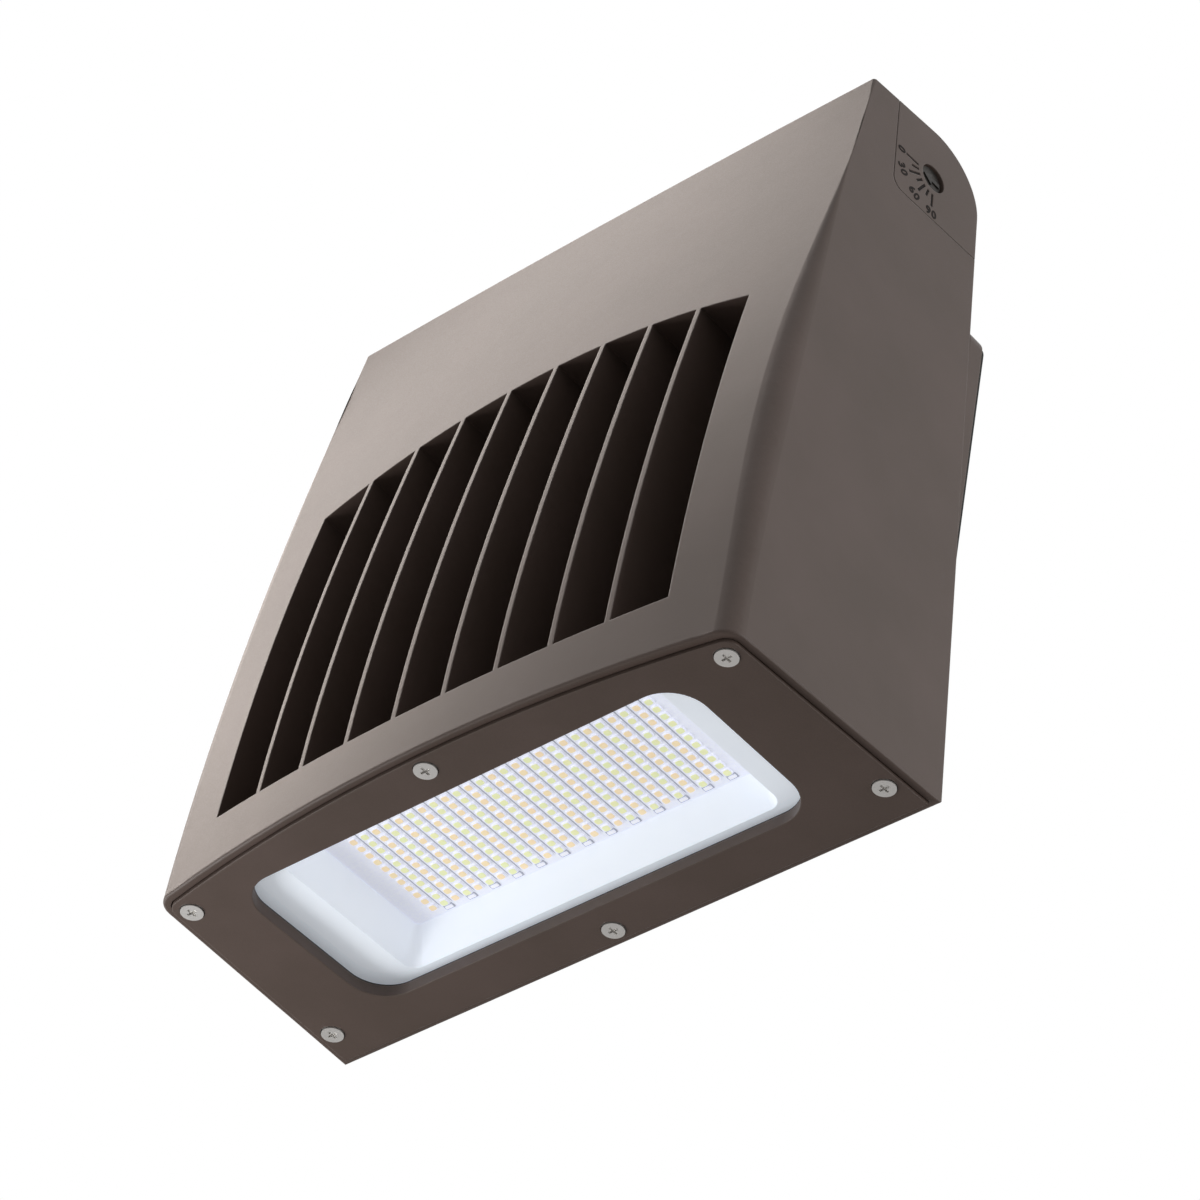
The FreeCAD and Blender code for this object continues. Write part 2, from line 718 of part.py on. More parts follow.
def make_housing():
    """The cast head: shell, fins, light chamber, driver bay, pivot bosses."""
    outer = head_loft("head_block", 0, 0)
    pocket(outer, "YZ_Plane", -FAR, FAR, draw_outline(outside_crown()))
    doc.recompute()
    trimmed = outer.Tip
    rounding = outer.newObject("PartDesign::Fillet", "rim_rounding")
    rounding.Base = (trimmed, rim_edges(trimmed.Shape))
    bind(rounding, "Radius", size("rim_round"))
    hinge_space = hollow("hinge_space", size("bay_top") + size("wall"), None, None)
    bay = hollow("driver_bay", size("sill_floor"), size("bay_top"), -size("bay_rear"))
    seat_plan = draw_outline(dial_panel(size("dial_margin")))
    pad = side_tool("dial_pad", seat_plan, PAD_FACE, DIAL_FLOOR)
    boss = side_tool("pivot_boss", draw_circles([(PIVOT_Y, PIVOT_Z, size("boss_radius"))]),
                     BOSS_FACE, PAD_FACE + OVERLAP)
    pad_right = combine("Part::Common", "dial_pad_right", head_copy("pad_block"), pad)
    right = gather("Part::MultiFuse", "pivot_side_right", [pad_right, boss])
    left = mirror_x("pivot_side_left", right)
    hole = draw_circles([(PIVOT_Y, PIVOT_Z, size("pin_radius") + size("slack"))])
    recess = side_tool("dial_recess", draw_outline(dial_panel(0)), DIAL_FLOOR, SIDE + CLEAR)
    bore = side_tool("pivot_bore", hole, BOSS_FACE - OVERLAP, SIDE)
    right_cut = gather("Part::MultiFuse", "dial_cut_right", [recess, bore])
    left_cut = mirror_x("dial_cut_left", right_cut)
    wire_way = new_body("wire_way")
    solid(wire_way, "XY_Plane", size("bay_top") - OVERLAP, size("bay_top") + size("wall") + OVERLAP,
          draw_circles([(-size("grommet_side"), -size("grommet_depth"), size("grommet_radius"))]))
    driver_holes = new_body("driver_holes")
    mount_face = size("wall") - size("recess_depth")
    tapped = size("bay_screw_radius") + size("thread_gap")
    solid(driver_holes, "XZ_Plane", mount_face - size("driver_screw_bite"), mount_face,
          draw_circles([(x, z, tapped) for x, z in driver_screw_places()]))
    shell = gather("Part::MultiFuse", "hollows", [hinge_space, bay])
    shell = combine("Part::Cut", "head_shell", outer, shell)
    cast = gather("Part::MultiFuse", "head_cast", [shell, right, left])
    cuts = gather("Part::MultiFuse", "head_cuts", [
        fin_slots(), light_chamber(), hatch_cuts(), right_cut, left_cut, wire_way, driver_holes])
    housing = combine("Part::Cut", "housing", cast, cuts)
    to_head(housing)


def head_copy(label):
    """The trimmed head block without its rim rounding, for pieces that share its sides."""
    body = head_loft(label, 0, 0)
    pocket(body, "YZ_Plane", -FAR, FAR, draw_outline(outside_crown()))
    return body


def rim_edges(shape):
    """Names of the lower outer edges of the head."""
    names = []
    for number, edge in enumerate(shape.Edges, start=1):
        if edge.BoundBox.ZMax < 0.01:
            names.append("Edge%d" % number)
    return names


# ---------------------------------------------------------------- lens side
def make_lens_frame():
    """Cast frame that holds the glass; six screws hold it in the rim."""
    body = new_body("lens_frame")
    low = -size("frame_proud")
    high = low + size("frame_thick")
    inset = size("frame_inset") + size("frame_gap")
    solid(body, "XY_Plane", low, high, draw_outline(rim_plan(inset, inset)))
    pocket(body, "XY_Plane", low, high, draw_outline(window_plan()))
    places = frame_screw_places()
    hole = size("screw_radius") + size("hole_slack")
    pocket(body, "XY_Plane", low, high, draw_circles([(x, y, hole) for x, y in places]))
    seat = size("screw_head") + size("hole_slack")
    pocket(body, "XY_Plane", low, low + size("head_pocket"),
           draw_circles([(x, y, seat) for x, y in places]))
    to_head(body)


def make_frame_seal():
    """Flat silicone seal between the frame and the rim seat."""
    body = new_body("frame_seal")
    low = size("frame_thick") - size("frame_proud")
    inset = size("frame_inset") + size("frame_gap") * 2
    solid(body, "XY_Plane", low, SEAT, draw_outline(rim_plan(inset, inset)))
    pocket(body, "XY_Plane", low, SEAT, draw_outline(chamber_plan(0, 0, 0)))
    hole = size("screw_radius") + size("hole_slack")
    pocket(body, "XY_Plane", low, SEAT,
           draw_circles([(x, y, hole) for x, y in frame_screw_places()]))
    to_head(body)


def window_plan():
    """Plan of the window."""
    half = CHAMBER_HALF - size("window_side")
    front = CHAMBER_FRONT - size("window_nose")
    rear = CHAMBER_REAR + size("window_tail")
    return rounded(-half, half, -front, -rear, size("window_corner"))


def make_lens():
    """Tempered glass and the bead that seals it to the frame."""
    pane = chamber_plan(size("glass_side"), size("glass_nose"), size("glass_tail"))
    low = size("frame_thick") - size("frame_proud")
    foot = low + size("bead_thick")
    bead = new_body("glass_seal")
    solid(bead, "XY_Plane", low, foot, draw_outline(pane))
    pocket(bead, "XY_Plane", low, foot, draw_outline(window_plan()))
    to_head(bead)
    glass = new_body("lens_glass")
    solid(glass, "XY_Plane", foot, foot + size("glass_thick"), draw_outline(pane))
    to_head(glass)


def cross_screw(label, shank, head, height, length):
    """Pan head screw standing on the origin, head down, with a cross recess."""
    body = new_body(label)
    solid(body, "XY_Plane", -as_dim(height), 0, draw_circles([(0, 0, head)]))
    solid(body, "XY_Plane", 0, length, draw_circles([(0, 0, shank)]))
    reach, half = size("recess_reach") * head / size("screw_head"), size("recess_width") / 2
    deep = as_dim(height) / 2
    for wide, tall in ((reach, half), (half, reach)):
        pocket(body, "XY_Plane", -as_dim(height), -deep,
               draw_outline(rectangle(-wide, wide, -tall, tall)))
    return body


def make_frame_screws():
    """Six stainless pan head screws."""
    screw = cross_screw("frame_screw", size("screw_radius"), size("screw_head"),
                        size("screw_head_height"), size("screw_length"))
    level = size("head_pocket") - size("frame_proud")
    to_head(copies("frame_screws", screw, [(x, y, level) for x, y in frame_screw_places()]))


# ---------------------------------------------------------------- light engine
CHIP_FACE = size("tray_ceiling") - size("pad_thick") - size("board_thick") - size("chip_height")


def board_plan():
    """Plan of the light board."""
    half = size("board_half")
    return rectangle(-half, half, -size("board_front"), -size("board_rear"))


def make_board():
    """Heat pad, light board, chips in columns and the lugs at the ends of the columns."""
    ceiling = size("tray_ceiling")
    pad = new_body("heat_pad")
    solid(pad, "XY_Plane", ceiling - size("pad_thick"), ceiling, draw_outline(board_plan()))
    to_head(pad)
    board = new_body("led_board")
    top = ceiling - size("pad_thick")
    foot = top - size("board_thick")
    solid(board, "XY_Plane", foot, top, draw_outline(board_plan()))
    to_head(board)
    strip = new_body("chip_column")
    half = size("column_width") / 2
    solid(strip, "XY_Plane", -size("chip_height"), 0,
          draw_outline(rectangle(-half, half, -size("column_front"), -size("column_rear"))))
    count = int(size("column_count").value)
    places = [(size("column_pitch") * (number - (count - 1) / 2), 0, foot)
              for number in range(count)]
    to_head(copies("led_columns", strip, places))
    lug = new_body("column_lug")
    half = size("lug_width") / 2
    rear = size("column_rear") - size("lug_gap")
    solid(lug, "XY_Plane", -size("chip_height"), 0,
          draw_outline(rectangle(-half, half, -rear, size("lug_length") - rear)))
    to_head(copies("led_lugs", lug, places[1::2]))


def tray_plan(side, end, corner):
    """Plan of the reflector at one level."""
    half = size("tray_half") + side
    return rounded(-half, half, -size("tray_front") - end, end - size("tray_rear"), corner)


def make_reflector():
    """White reflector: four sloped walls round the board and a flange behind the glass."""
    body = new_body("reflector")
    foot = CHIP_FACE + size("chip_height") - size("tray_foot_gap")
    lip = size("tray_lip")
    sheet_thick = size("tray_sheet")
    flare = size("tray_side_flare")
    end = size("tray_end_flare")
    lip_radius = size("tray_lip_corner")
    radius = size("tray_corner")
    loft_walls(body, "PartDesign::AdditiveLoft", lip, foot,
               tray_plan(flare + sheet_thick, end + sheet_thick, lip_radius),
               tray_plan(sheet_thick, sheet_thick, radius))
    gap = size("tray_flange_gap")
    solid(body, "XY_Plane", lip - sheet_thick, lip, draw_outline(chamber_plan(gap, gap, gap)))
    loft_walls(body, "PartDesign::SubtractiveLoft", lip - sheet_thick, foot,
               tray_plan(flare, end, lip_radius), tray_plan(ZERO, ZERO, radius))
    to_head(body)


def loft_walls(body, kind, low, high, lower_plan, upper_plan):
    """Loft between two plans."""
    lower = new_sketch(body, "XY_Plane", low)
    outline(lower, lower_plan)
    upper = new_sketch(body, "XY_Plane", high)
    outline(upper, upper_plan)
    doc.recompute()
    loft = body.newObject(kind, body.Name + "_walls")
    loft.Profile = lower
    loft.Sections = [upper]
    loft.Ruled = True
    return loft


# ---------------------------------------------------------------- driver bay
DRIVER_FOOT = size("sill_floor") + size("driver_rise")


def driver_screw_places():
    """The two driver screws: x and height."""
    side = size("driver_length") / 2 + size("tab_length") / 2
    middle = DRIVER_FOOT + size("driver_height") / 2
    return [(-side, middle), (side, middle)]


def make_driver():
    """Potted driver with a mounting tab at each end, against the wall behind the fins."""
    body = new_body("driver")
    front = -size("recess_depth") + size("wall")
    half = size("driver_length") / 2
    foot, height = DRIVER_FOOT, size("driver_height")
    solid(body, "XZ_Plane", front, front + size("driver_depth"),
          draw_outline(rounded(-half, half, foot, foot + height, size("driver_corner"))))
    reach = half + size("tab_length")
    third = height / 3
    solid(body, "XZ_Plane", front, front + size("tab_thick"),
          draw_outline(rectangle(-reach, reach, foot + third, foot + third * 2)))
    hole = size("bay_screw_radius") + size("hole_slack")
    pocket(body, "XZ_Plane", front, front + size("tab_thick"),
           draw_circles([(x, z, hole) for x, z in driver_screw_places()]))
    to_head(body)
    screw = bay_screw("driver_screw", size("tab_thick") + size("driver_screw_bite"))
    level = front + size("tab_thick")
    to_head(copies("driver_screws", screw,
                   [(x, level, z) for x, z in driver_screw_places()], HEAD_REARWARD))


def bay_screw(label, length):
    """M3 pan head screw."""
    return cross_screw(label, size("bay_screw_radius"), size("bay_screw_head"),
                       size("bay_screw_head_height"), length)


HEAD_REARWARD = FreeCAD.Rotation(Vector(1, 0, 0), 90)
HEAD_FRONTWARD = FreeCAD.Rotation(Vector(1, 0, 0), -90)


def make_bay_cover():
    """Cover of the driver bay with its seal and screws."""
    gap = size("cover_gap")
    plate = hatch_plan(size("hatch_seat") - gap, size("hatch_corner") - gap)
    seat = -size("bay_rim")
    inner = seat + size("seal_thick")
    outer = inner + size("cover_thick")
    hole = size("bay_screw_radius") + size("hole_slack")
    holes = draw_circles([(x, z, hole) for x, z in bay_screw_places()])
    seal = new_body("bay_seal")
    solid(seal, "XZ_Plane", seat, inner, draw_outline(plate))
    pocket(seal, "XZ_Plane", seat, inner, draw_outline(hatch_plan(0, size("hatch_corner"))))
    pocket(seal, "XZ_Plane", seat, inner, holes)
    to_head(seal)
    cover = new_body("bay_cover")
    solid(cover, "XZ_Plane", inner, outer, draw_outline(plate))
    pocket(cover, "XZ_Plane", inner, outer, holes)
    reach = size("knob_width") / 2 + size("knob_travel") + size("slack")
    tall = size("knob_height") / 2 + size("slack")
    side, middle = SWITCH_SIDE, size("switch_height")
    pocket(cover, "XZ_Plane", inner, outer,
           draw_outline(rectangle(side - reach, side + reach, middle - tall, middle + tall)))
    to_head(cover)
    screw = bay_screw("cover_screw", size("bay_screw_length"))
    to_head(copies("bay_cover_screws", screw,
                   [(x, outer, z) for x, z in bay_screw_places()], HEAD_REARWARD))


def make_switch():
    """Light colour selector behind the bay cover, with its sliding knob."""
    side, middle = SWITCH_SIDE, size("switch_height")
    face = size("seal_thick") - size("bay_rim")
    rear = face - size("switch_deep")
    half, tall = size("switch_length") / 2, size("switch_width") / 2
    body = new_body("selector_switch")
    solid(body, "XZ_Plane", rear, face,
          draw_outline(rectangle(side - half, side + half, middle - tall, middle + tall)))
    slide = size("knob_height") / 2 + size("slack")
    track = size("knob_width") / 2 + size("knob_travel") + size("slack")
    deep = size("switch_deep") / 2
    pocket(body, "XZ_Plane", face - deep, face,
           draw_outline(rectangle(side - track, side + track, middle - slide, middle + slide)))
    to_head(body)
    knob = new_body("selector_knob")
    wide, high = size("knob_width") / 2, size("knob_height") / 2
    out = face + size("cover_thick") + size("knob_proud")
    solid(knob, "XZ_Plane", face - deep + size("slack"), out,
          draw_outline(rectangle(side - wide, side + wide, middle - high, middle + high)))
    to_head(knob)


def grommet(label, y, low, thick):
    """Rubber wire grommet in a wall that starts at this level."""
    body = new_body(label)
    x = -size("grommet_side")
    lip = size("grommet_flange")
    wide = size("grommet_radius") + size("grommet_lip")
    solid(body, "XY_Plane", low - lip, low, draw_circles([(x, y, wide)]))
    solid(body, "XY_Plane", low, low + thick, draw_circles([(x, y, size("grommet_radius"))]))
    solid(body, "XY_Plane", low + thick, low + thick + lip, draw_circles([(x, y, wide)]))
    pocket(body, "XY_Plane", low - lip, low + thick + lip,
           draw_circles([(x, y, size("grommet_bore"))]))
    return body


# ---------------------------------------------------------------- dial covers
def make_dials():
    """Dial covers: flush panels with angle marks round the pivot, one on each side."""
    panel = side_tool("dial_plate", draw_outline(dial_panel(-size("dial_gap"))),
                      DIAL_FLOOR, SIDE + CLEAR)
    drilled = combine("Part::Common", "dial_blank", head_copy("dial_block"), panel)
    marks = new_body("dial_marks")
    for number in range(int(size("mark_count").value)):
        angle = size("mark_step") * number + 180
        end = size("mark_long") if number % 2 == 0 else size("mark_short")
        solid(marks, "YZ_Plane", DIAL_FLOOR, SIDE + CLEAR, draw_outline(
            mark_corners(angle, size("mark_from"), end, size("mark_width") / 2)))
    below_face = head_loft("mark_floor", size("mark_deep"), CLEAR)
    engraving = combine("Part::Cut", "dial_engraving", marks, below_face)
    hole = side_tool("dial_bore", draw_circles([(PIVOT_Y, PIVOT_Z, size("dial_hole"))]),
                     DIAL_FLOOR - OVERLAP, SIDE + CLEAR)
    cuts = gather("Part::MultiFuse", "dial_cuts", [engraving, hole])
    right = combine("Part::Cut", "dial_cover_right", drilled, cuts)
    to_head(right)
    NODES.append(mirror_x("dial_cover_left", right))


def mark_corners(angle, start, end, half):
    """Corners of one radial mark."""
    along_y, along_z = cosine(angle), sine(angle)
    near_y, near_z = PIVOT_Y + start * along_y, PIVOT_Z + start * along_z
    far_y, far_z = PIVOT_Y + end * along_y, PIVOT_Z + end * along_z
    off_y, off_z = half * along_z, half * along_y
    return [
        (near_y + off_y, near_z - off_z, None), (far_y + off_y, far_z - off_z, None),
        (far_y - off_y, far_z + off_z, None), (near_y - off_y, near_z + off_z, None)]


# ---------------------------------------------------------------- wall box
REAR = -size("seal_rear")
BOX_PIVOT_Y = PIVOT_Y - size("wall_gap")
BOX_PIVOT_Z = PIVOT_Z - size("rim_drop")
BOX_RIM = -size("box_reach")
BOX_HALF = EAR_FACE - size("box_inset")
BOX_GROMMET_Y = -size("grommet_depth") - size("wall_gap")


def flange_plan(inset):
    """Front view of the flange: wider at its top."""
    top = SIDE - size("flange_top_inset") - inset
    foot = SIDE - size("flange_foot_inset") - inset
    height = size("box_top") - inset
    corner = size("box_corner") - inset
    slope = (top - foot) / (height * 2)
    return [
        (corner - foot, -height, None), (foot - corner, -height, corner),
        (foot + slope * corner, corner - height, None),
        (top - slope * corner, height - corner, corner),
        (top - corner, height, None), (corner - top, height, corner),
        (slope * corner - top, height - corner, None),
        (-foot - slope * corner, corner - height, corner)]


def box_plan(inset):
    """Front view of the wall box inside the head."""
    half, height = BOX_HALF - inset, size("box_top") - inset
    return rounded(-half, half, -height, height, size("box_corner") - inset)


def ear_plan():
    """Side view of a hinge ear: a round eye on a neck that runs into the box."""
    front, back, radius = size("ear_front"), size("ear_back"), size("ear_radius")
    foot = size("box_top") - size("box_wall")
    return [
        (BOX_PIVOT_Y - front, foot, None), (BOX_PIVOT_Y + back, foot, None),
        (BOX_PIVOT_Y + back, BOX_PIVOT_Z, None), (BOX_PIVOT_Y - front, BOX_PIVOT_Z, None)]


def box_posts():
    """The four cover screws: x and height."""
    inset = size("box_screw_inset")
    side, high = BOX_HALF - inset, size("box_top") - inset
    return [(x, z) for x in (-side, side) for z in (-high, high)]


def wall_holes():
    """Holes through the rear plate: wall screws, junction box screws, cable entry."""
    side, high = size("anchor_side"), size("anchor_height")
    box_side = size("junction_side")
    anchors = [(x, z, size("anchor_radius")) for x in (-side, side) for z in (-high, high)]
    junction = [(x, 0, size("junction_radius")) for x in (-box_side, box_side)]
    return anchors + junction + [(0, -size("entry_drop"), size("entry_radius"))]


def make_wall_box():
    """Cast wall box: rear plate and flange, four walls, screw posts and two hinge ears."""
    body = new_body("wall_box")
    plate = REAR - size("box_wall")
    solid(body, "XZ_Plane", REAR - size("flange_thick"), REAR, draw_outline(flange_plan(0)))
    solid(body, "XZ_Plane", BOX_RIM, REAR, draw_outline(box_plan(0)))
    thick = size("ear_thick")
    for low, high in ((EAR_FACE - thick, EAR_FACE), (-EAR_FACE, thick - EAR_FACE)):
        solid(body, "YZ_Plane", low, high, draw_outline(ear_plan()))
        solid(body, "YZ_Plane", low, high,
              draw_circles([(BOX_PIVOT_Y, BOX_PIVOT_Z, size("ear_radius"))]))
        pocket(body, "YZ_Plane", low, high,
               draw_circles([(BOX_PIVOT_Y, BOX_PIVOT_Z, size("pin_radius") + size("pin_fit"))]))
    pocket(body, "XZ_Plane", BOX_RIM, plate, draw_outline(box_plan(size("box_wall"))))
    solid(body, "XZ_Plane", BOX_RIM, plate,
          draw_circles([(x, z, size("box_post")) for x, z in box_posts()]))
    solid(body, "XZ_Plane", plate - size("ground_post"), plate,
          draw_circles([(size("ground_side"), size("ground_height"), size("box_post"))]))
    tapped = size("screw_radius") + size("thread_gap")
    pocket(body, "XZ_Plane", BOX_RIM, BOX_RIM + size("screw_length"),
           draw_circles([(x, z, tapped) for x, z in box_posts()]))
    pocket(body, "XZ_Plane", plate - size("ground_post"), REAR,
           draw_circles([(size("ground_side"), size("ground_height"), tapped)]))
    pocket(body, "XZ_Plane", plate, REAR, draw_circles(wall_holes()))
    wire_way = (-size("grommet_side"), BOX_GROMMET_Y, size("grommet_radius"))
    pocket(body, "XY_Plane", -size("box_top"), size("box_wall") - size("box_top"),
           draw_circles([wire_way]))
    to_box(body)


def make_box_fittings():
    """Wall seal, box cover with its seal and screws, earth screw."""
    seal = new_body("wall_seal")
    solid(seal, "XZ_Plane", REAR, 0, draw_outline(flange_plan(size("seal_inset"))))
    margin = size("seal_hole_margin")
    pocket(seal, "XZ_Plane", REAR, 0, draw_circles(
        [(x, z, radius + margin) for x, z, radius in wall_holes()]))
    to_box(seal)
    gasket = new_body("box_seal")
    front = BOX_RIM - size("seal_thick")
    hole = size("screw_radius") + size("hole_slack")
    holes = draw_circles([(x, z, hole) for x, z in box_posts()])
    solid(gasket, "XZ_Plane", front, BOX_RIM, draw_outline(box_plan(0)))
    pocket(gasket, "XZ_Plane", front, BOX_RIM, draw_outline(box_seal_hole()))
    pocket(gasket, "XZ_Plane", front, BOX_RIM, holes)
    to_box(gasket)
    cover = new_body("box_cover")
    face = front - size("cover_thick")
    solid(cover, "XZ_Plane", face, front, draw_outline(box_plan(0)))
    pocket(cover, "XZ_Plane", face, front, holes)
    to_box(cover)
    screw = cross_screw("box_screw", size("screw_radius"), size("screw_head"),
                        size("screw_head_height"), size("screw_length"))
    to_box(copies("box_cover_screws", screw,
                  [(x, face, z) for x, z in box_posts()], HEAD_FRONTWARD))
    earth = cross_screw("earth_screw", size("screw_radius"), size("screw_head"),
                        size("screw_head_height"), size("ground_post"))
    level = REAR - size("box_wall") - size("ground_post")
    to_box(copies("earth_screws", earth,
                  [(size("ground_side"), level, size("ground_height"))], HEAD_FRONTWARD))


def box_seal_hole():
    """Opening of the box seal: it covers the screw posts."""
    inset = size("box_screw_inset") + size("box_post") + size("post_margin")
    half, height = BOX_HALF - inset, size("box_top") - inset
    return rectangle(-half, half, -height, height)


def make_pivots():
    """Pivot bolts with pointer discs, their nuts and the toothed washers."""
    bolt = new_body("pivot_bolt")
    place = (BOX_PIVOT_Y, BOX_PIVOT_Z)
    inner = EAR_FACE - size("ear_thick") - size("nut_thick")
    disc = POINTER_FACE - size("pointer_thick")
    solid(bolt, "YZ_Plane", inner - size("bolt_end"), disc,
          draw_circles([place + (size("pin_radius"),)]))
    solid(bolt, "YZ_Plane", disc, POINTER_FACE,
          draw_circles([place + (size("pointer_radius"),)]))
    solid(bolt, "YZ_Plane", POINTER_FACE, POINTER_FACE + size("arrow_rise"),
          draw_outline(arrow_corners()))
    to_box(gather("Part::Compound", "pivot_bolts", [bolt, mirror_x("pivot_bolt_left", bolt)]))
    nut = new_body("pivot_nut")
    solid(nut, "YZ_Plane", inner, inner + size("nut_thick"), draw_outline(hexagon_corners()))
    pocket(nut, "YZ_Plane", inner, inner + size("nut_thick"),
           draw_circles([place + (size("pin_radius"),)]))
    to_box(gather("Part::Compound", "pivot_nuts", [nut, mirror_x("pivot_nut_left", nut)]))
    washer = new_body("toothed_washer")
    low = EAR_FACE + size("washer_gap")
    high = BOSS_FACE - size("washer_gap")
    solid(washer, "YZ_Plane", low, high, draw_circles([place + (size("washer_radius"),)]))
    pocket(washer, "YZ_Plane", low, high,
           draw_circles([place + (size("pin_radius") + size("pin_fit"),)]))
    to_box(gather("Part::Compound", "toothed_washers",
                  [washer, mirror_x("toothed_washer_left", washer)]))


def arrow_corners():
    """Arrow that points to the front."""
    reach = size("pointer_radius") - size("arrow_inset")
    half = size("pointer_radius") / 2
    stem = half / 3
    y, z = BOX_PIVOT_Y, BOX_PIVOT_Z
    return [
        (y - reach, z, None), (y, z - half, None), (y, z - stem, None),
        (y + reach, z - stem, None), (y + reach, z + stem, None),
        (y, z + stem, None), (y, z + half, None)]


def hexagon_corners():
    """Hexagon of the pivot nut."""
    radius = size("nut_flats") / (cosine(30) * 2)
    return [(BOX_PIVOT_Y + radius * cosine(60 * turn), BOX_PIVOT_Z + radius * sine(60 * turn), None)
            for turn in range(6)]


def check_document():
    """Stop if any object failed or any piece has no sound shape."""
    doc.recompute()
    for item in doc.Objects:
        if "Invalid" in item.State or "Error" in item.State:
            raise RuntimeError("failed: " + item.Name)
    for node in NODES:
        if node.Shape.isNull() or not node.Shape.isValid():
            raise RuntimeError("bad shape: " + node.Label)


make_housing()
make_lens_frame()
make_frame_seal()
make_lens()
make_frame_screws()
make_board()
make_reflector()
make_driver()
make_bay_cover()
make_switch()
to_head(grommet("head_grommet", -size("grommet_depth"), size("bay_top"), size("wall")))
to_box(grommet("box_grommet", BOX_GROMMET_Y, -size("box_top"), size("box_wall")))
make_dials()
make_wall_box()
make_box_fittings()
make_pivots()
check_document()
for node in NODES:
    node.Shape.exportStep("parts/" + node.Label + ".step")
    box = node.Shape.BoundBox
    print("%-18s %2d solids %9.0f mm3  x %6.1f %6.1f  y %6.1f %6.1f  z %6.1f %6.1f" % (
        node.Label, len(node.Shape.Solids), node.Shape.Volume,
        box.XMin, box.XMax, box.YMin, box.YMax, box.ZMin, box.ZMax))
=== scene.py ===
# %% [markdown]
# # Wall pack light
# The object is an outdoor light that hangs on a wall: a cast head with cooling fins in front and
# a framed window below, tilting on a shallow wall box. The rigid shapes come from a CAD model,
# which this lesson loads as a fixed frame. It then gives the surfaces their finishes and adds what
# CAD leaves plain: the light chips and the lines between them, the solder lugs, and the marks and
# figures of the two dials.

# %% Load the frame
import bpy, bmesh, json
from math import cos, pi, radians, sin
from mathutils import Matrix, Vector
from mathutils.bvhtree import BVHTree


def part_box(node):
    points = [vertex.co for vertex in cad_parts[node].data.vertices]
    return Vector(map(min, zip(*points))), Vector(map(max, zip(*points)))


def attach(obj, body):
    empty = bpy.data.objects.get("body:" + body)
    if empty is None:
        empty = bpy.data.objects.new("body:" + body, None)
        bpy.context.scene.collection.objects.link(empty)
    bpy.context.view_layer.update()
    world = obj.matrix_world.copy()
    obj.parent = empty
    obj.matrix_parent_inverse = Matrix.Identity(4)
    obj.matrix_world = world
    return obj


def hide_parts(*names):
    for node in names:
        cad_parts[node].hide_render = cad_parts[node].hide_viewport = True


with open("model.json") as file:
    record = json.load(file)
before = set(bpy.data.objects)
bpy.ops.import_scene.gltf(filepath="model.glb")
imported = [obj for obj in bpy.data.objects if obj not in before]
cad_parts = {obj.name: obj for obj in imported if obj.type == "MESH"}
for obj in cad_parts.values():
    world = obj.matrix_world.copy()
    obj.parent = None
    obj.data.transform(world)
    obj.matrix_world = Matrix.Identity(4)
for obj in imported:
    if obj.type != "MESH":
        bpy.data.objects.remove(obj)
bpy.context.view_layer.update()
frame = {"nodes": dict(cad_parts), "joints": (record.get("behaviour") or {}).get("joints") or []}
nodes = frame["nodes"]
MM = 0.001  # Blender works in metres, and a maker thinks in millimetres

# %% [markdown]
# Colours are given as sRGB codes, the numbers that a paint program shows. A shader works
# with linear light, so one function turns a code into what the shader takes. One more function
# adds a node, because every material and every Geometry Nodes tree below is a chain of nodes.

# %% Colour and node helpers
def to_linear(code):
    """The linear red, green, blue and alpha of an sRGB hex code."""
    parts = [int(code[i:i + 2], 16) / 255 for i in (1, 3, 5)]
    return tuple(p / 12.92 if p <= 0.04045 else ((p + 0.055) / 1.055) ** 2.4 for p in parts) + (1,)


def pick(sockets, key):
    """A socket by its place in the list, or the first one in use with that name."""
    if isinstance(key, int):
        return sockets[key]
    return next(s for s in sockets if s.name == key and s.enabled)


def add(tree, kind, settings=None, inputs=None):
    """Adds a node. An input is a value, a node, a (node, output) pair, or a list of these."""
    node = tree.nodes.new(kind)
    for name, value in (settings or {}).items():
        setattr(node, name, value)
    for name, value in (inputs or {}).items():
        socket = pick(node.inputs, name)
        for source in value if isinstance(value, list) else [value]:
            if isinstance(source, bpy.types.Node):
                source = (source, next(s.name for s in source.outputs if s.enabled))
            if isinstance(source, tuple) and isinstance(source[0], bpy.types.Node):
                tree.links.new(pick(source[0].outputs, source[1]), socket)
            else:
                socket.default_value = source
    return node


BRONZE_DARK, BRONZE_LIGHT = "#4f423b", "#574943"
print("bronze in linear light:", [round(v, 3) for v in to_linear(BRONZE_DARK)])

# %% [markdown]
# Every finish starts the same way: a Principled shader, a Texture Coordinate node read in Object
# coordinates, which stay with the piece, and one or two noise patterns whose size is a real
# length. The noise makes small dents for the light to catch (bump), and lets the colour and the
# gloss drift a little, because no real surface is perfectly even.

# %% Material helpers
NOISE_LOW, NOISE_HIGH = 0.3, 0.7  # nearly all values of a noise lie between these
ROUGH_DRIFT = 0.05  # how far a finish's roughness strays to either side


def new_material(name):
    """A material with its shader and coordinates ready."""
    made = bpy.data.materials.new(name)
    made.use_nodes = True
    tree = made.node_tree
    tree.nodes.clear()
    shader = add(tree, "ShaderNodeBsdfPrincipled")
    add(tree, "ShaderNodeOutputMaterial", None, {"Surface": shader})
    return made, tree, shader, add(tree, "ShaderNodeTexCoord")


def grain(tree, coords, size_mm, detail=2.0):
    """A noise pattern whose spots are about size_mm across."""
    return add(tree, "ShaderNodeTexNoise", None,
               {"Vector": (coords, "Object"), "Scale": 1 / (size_mm * MM), "Detail": detail})


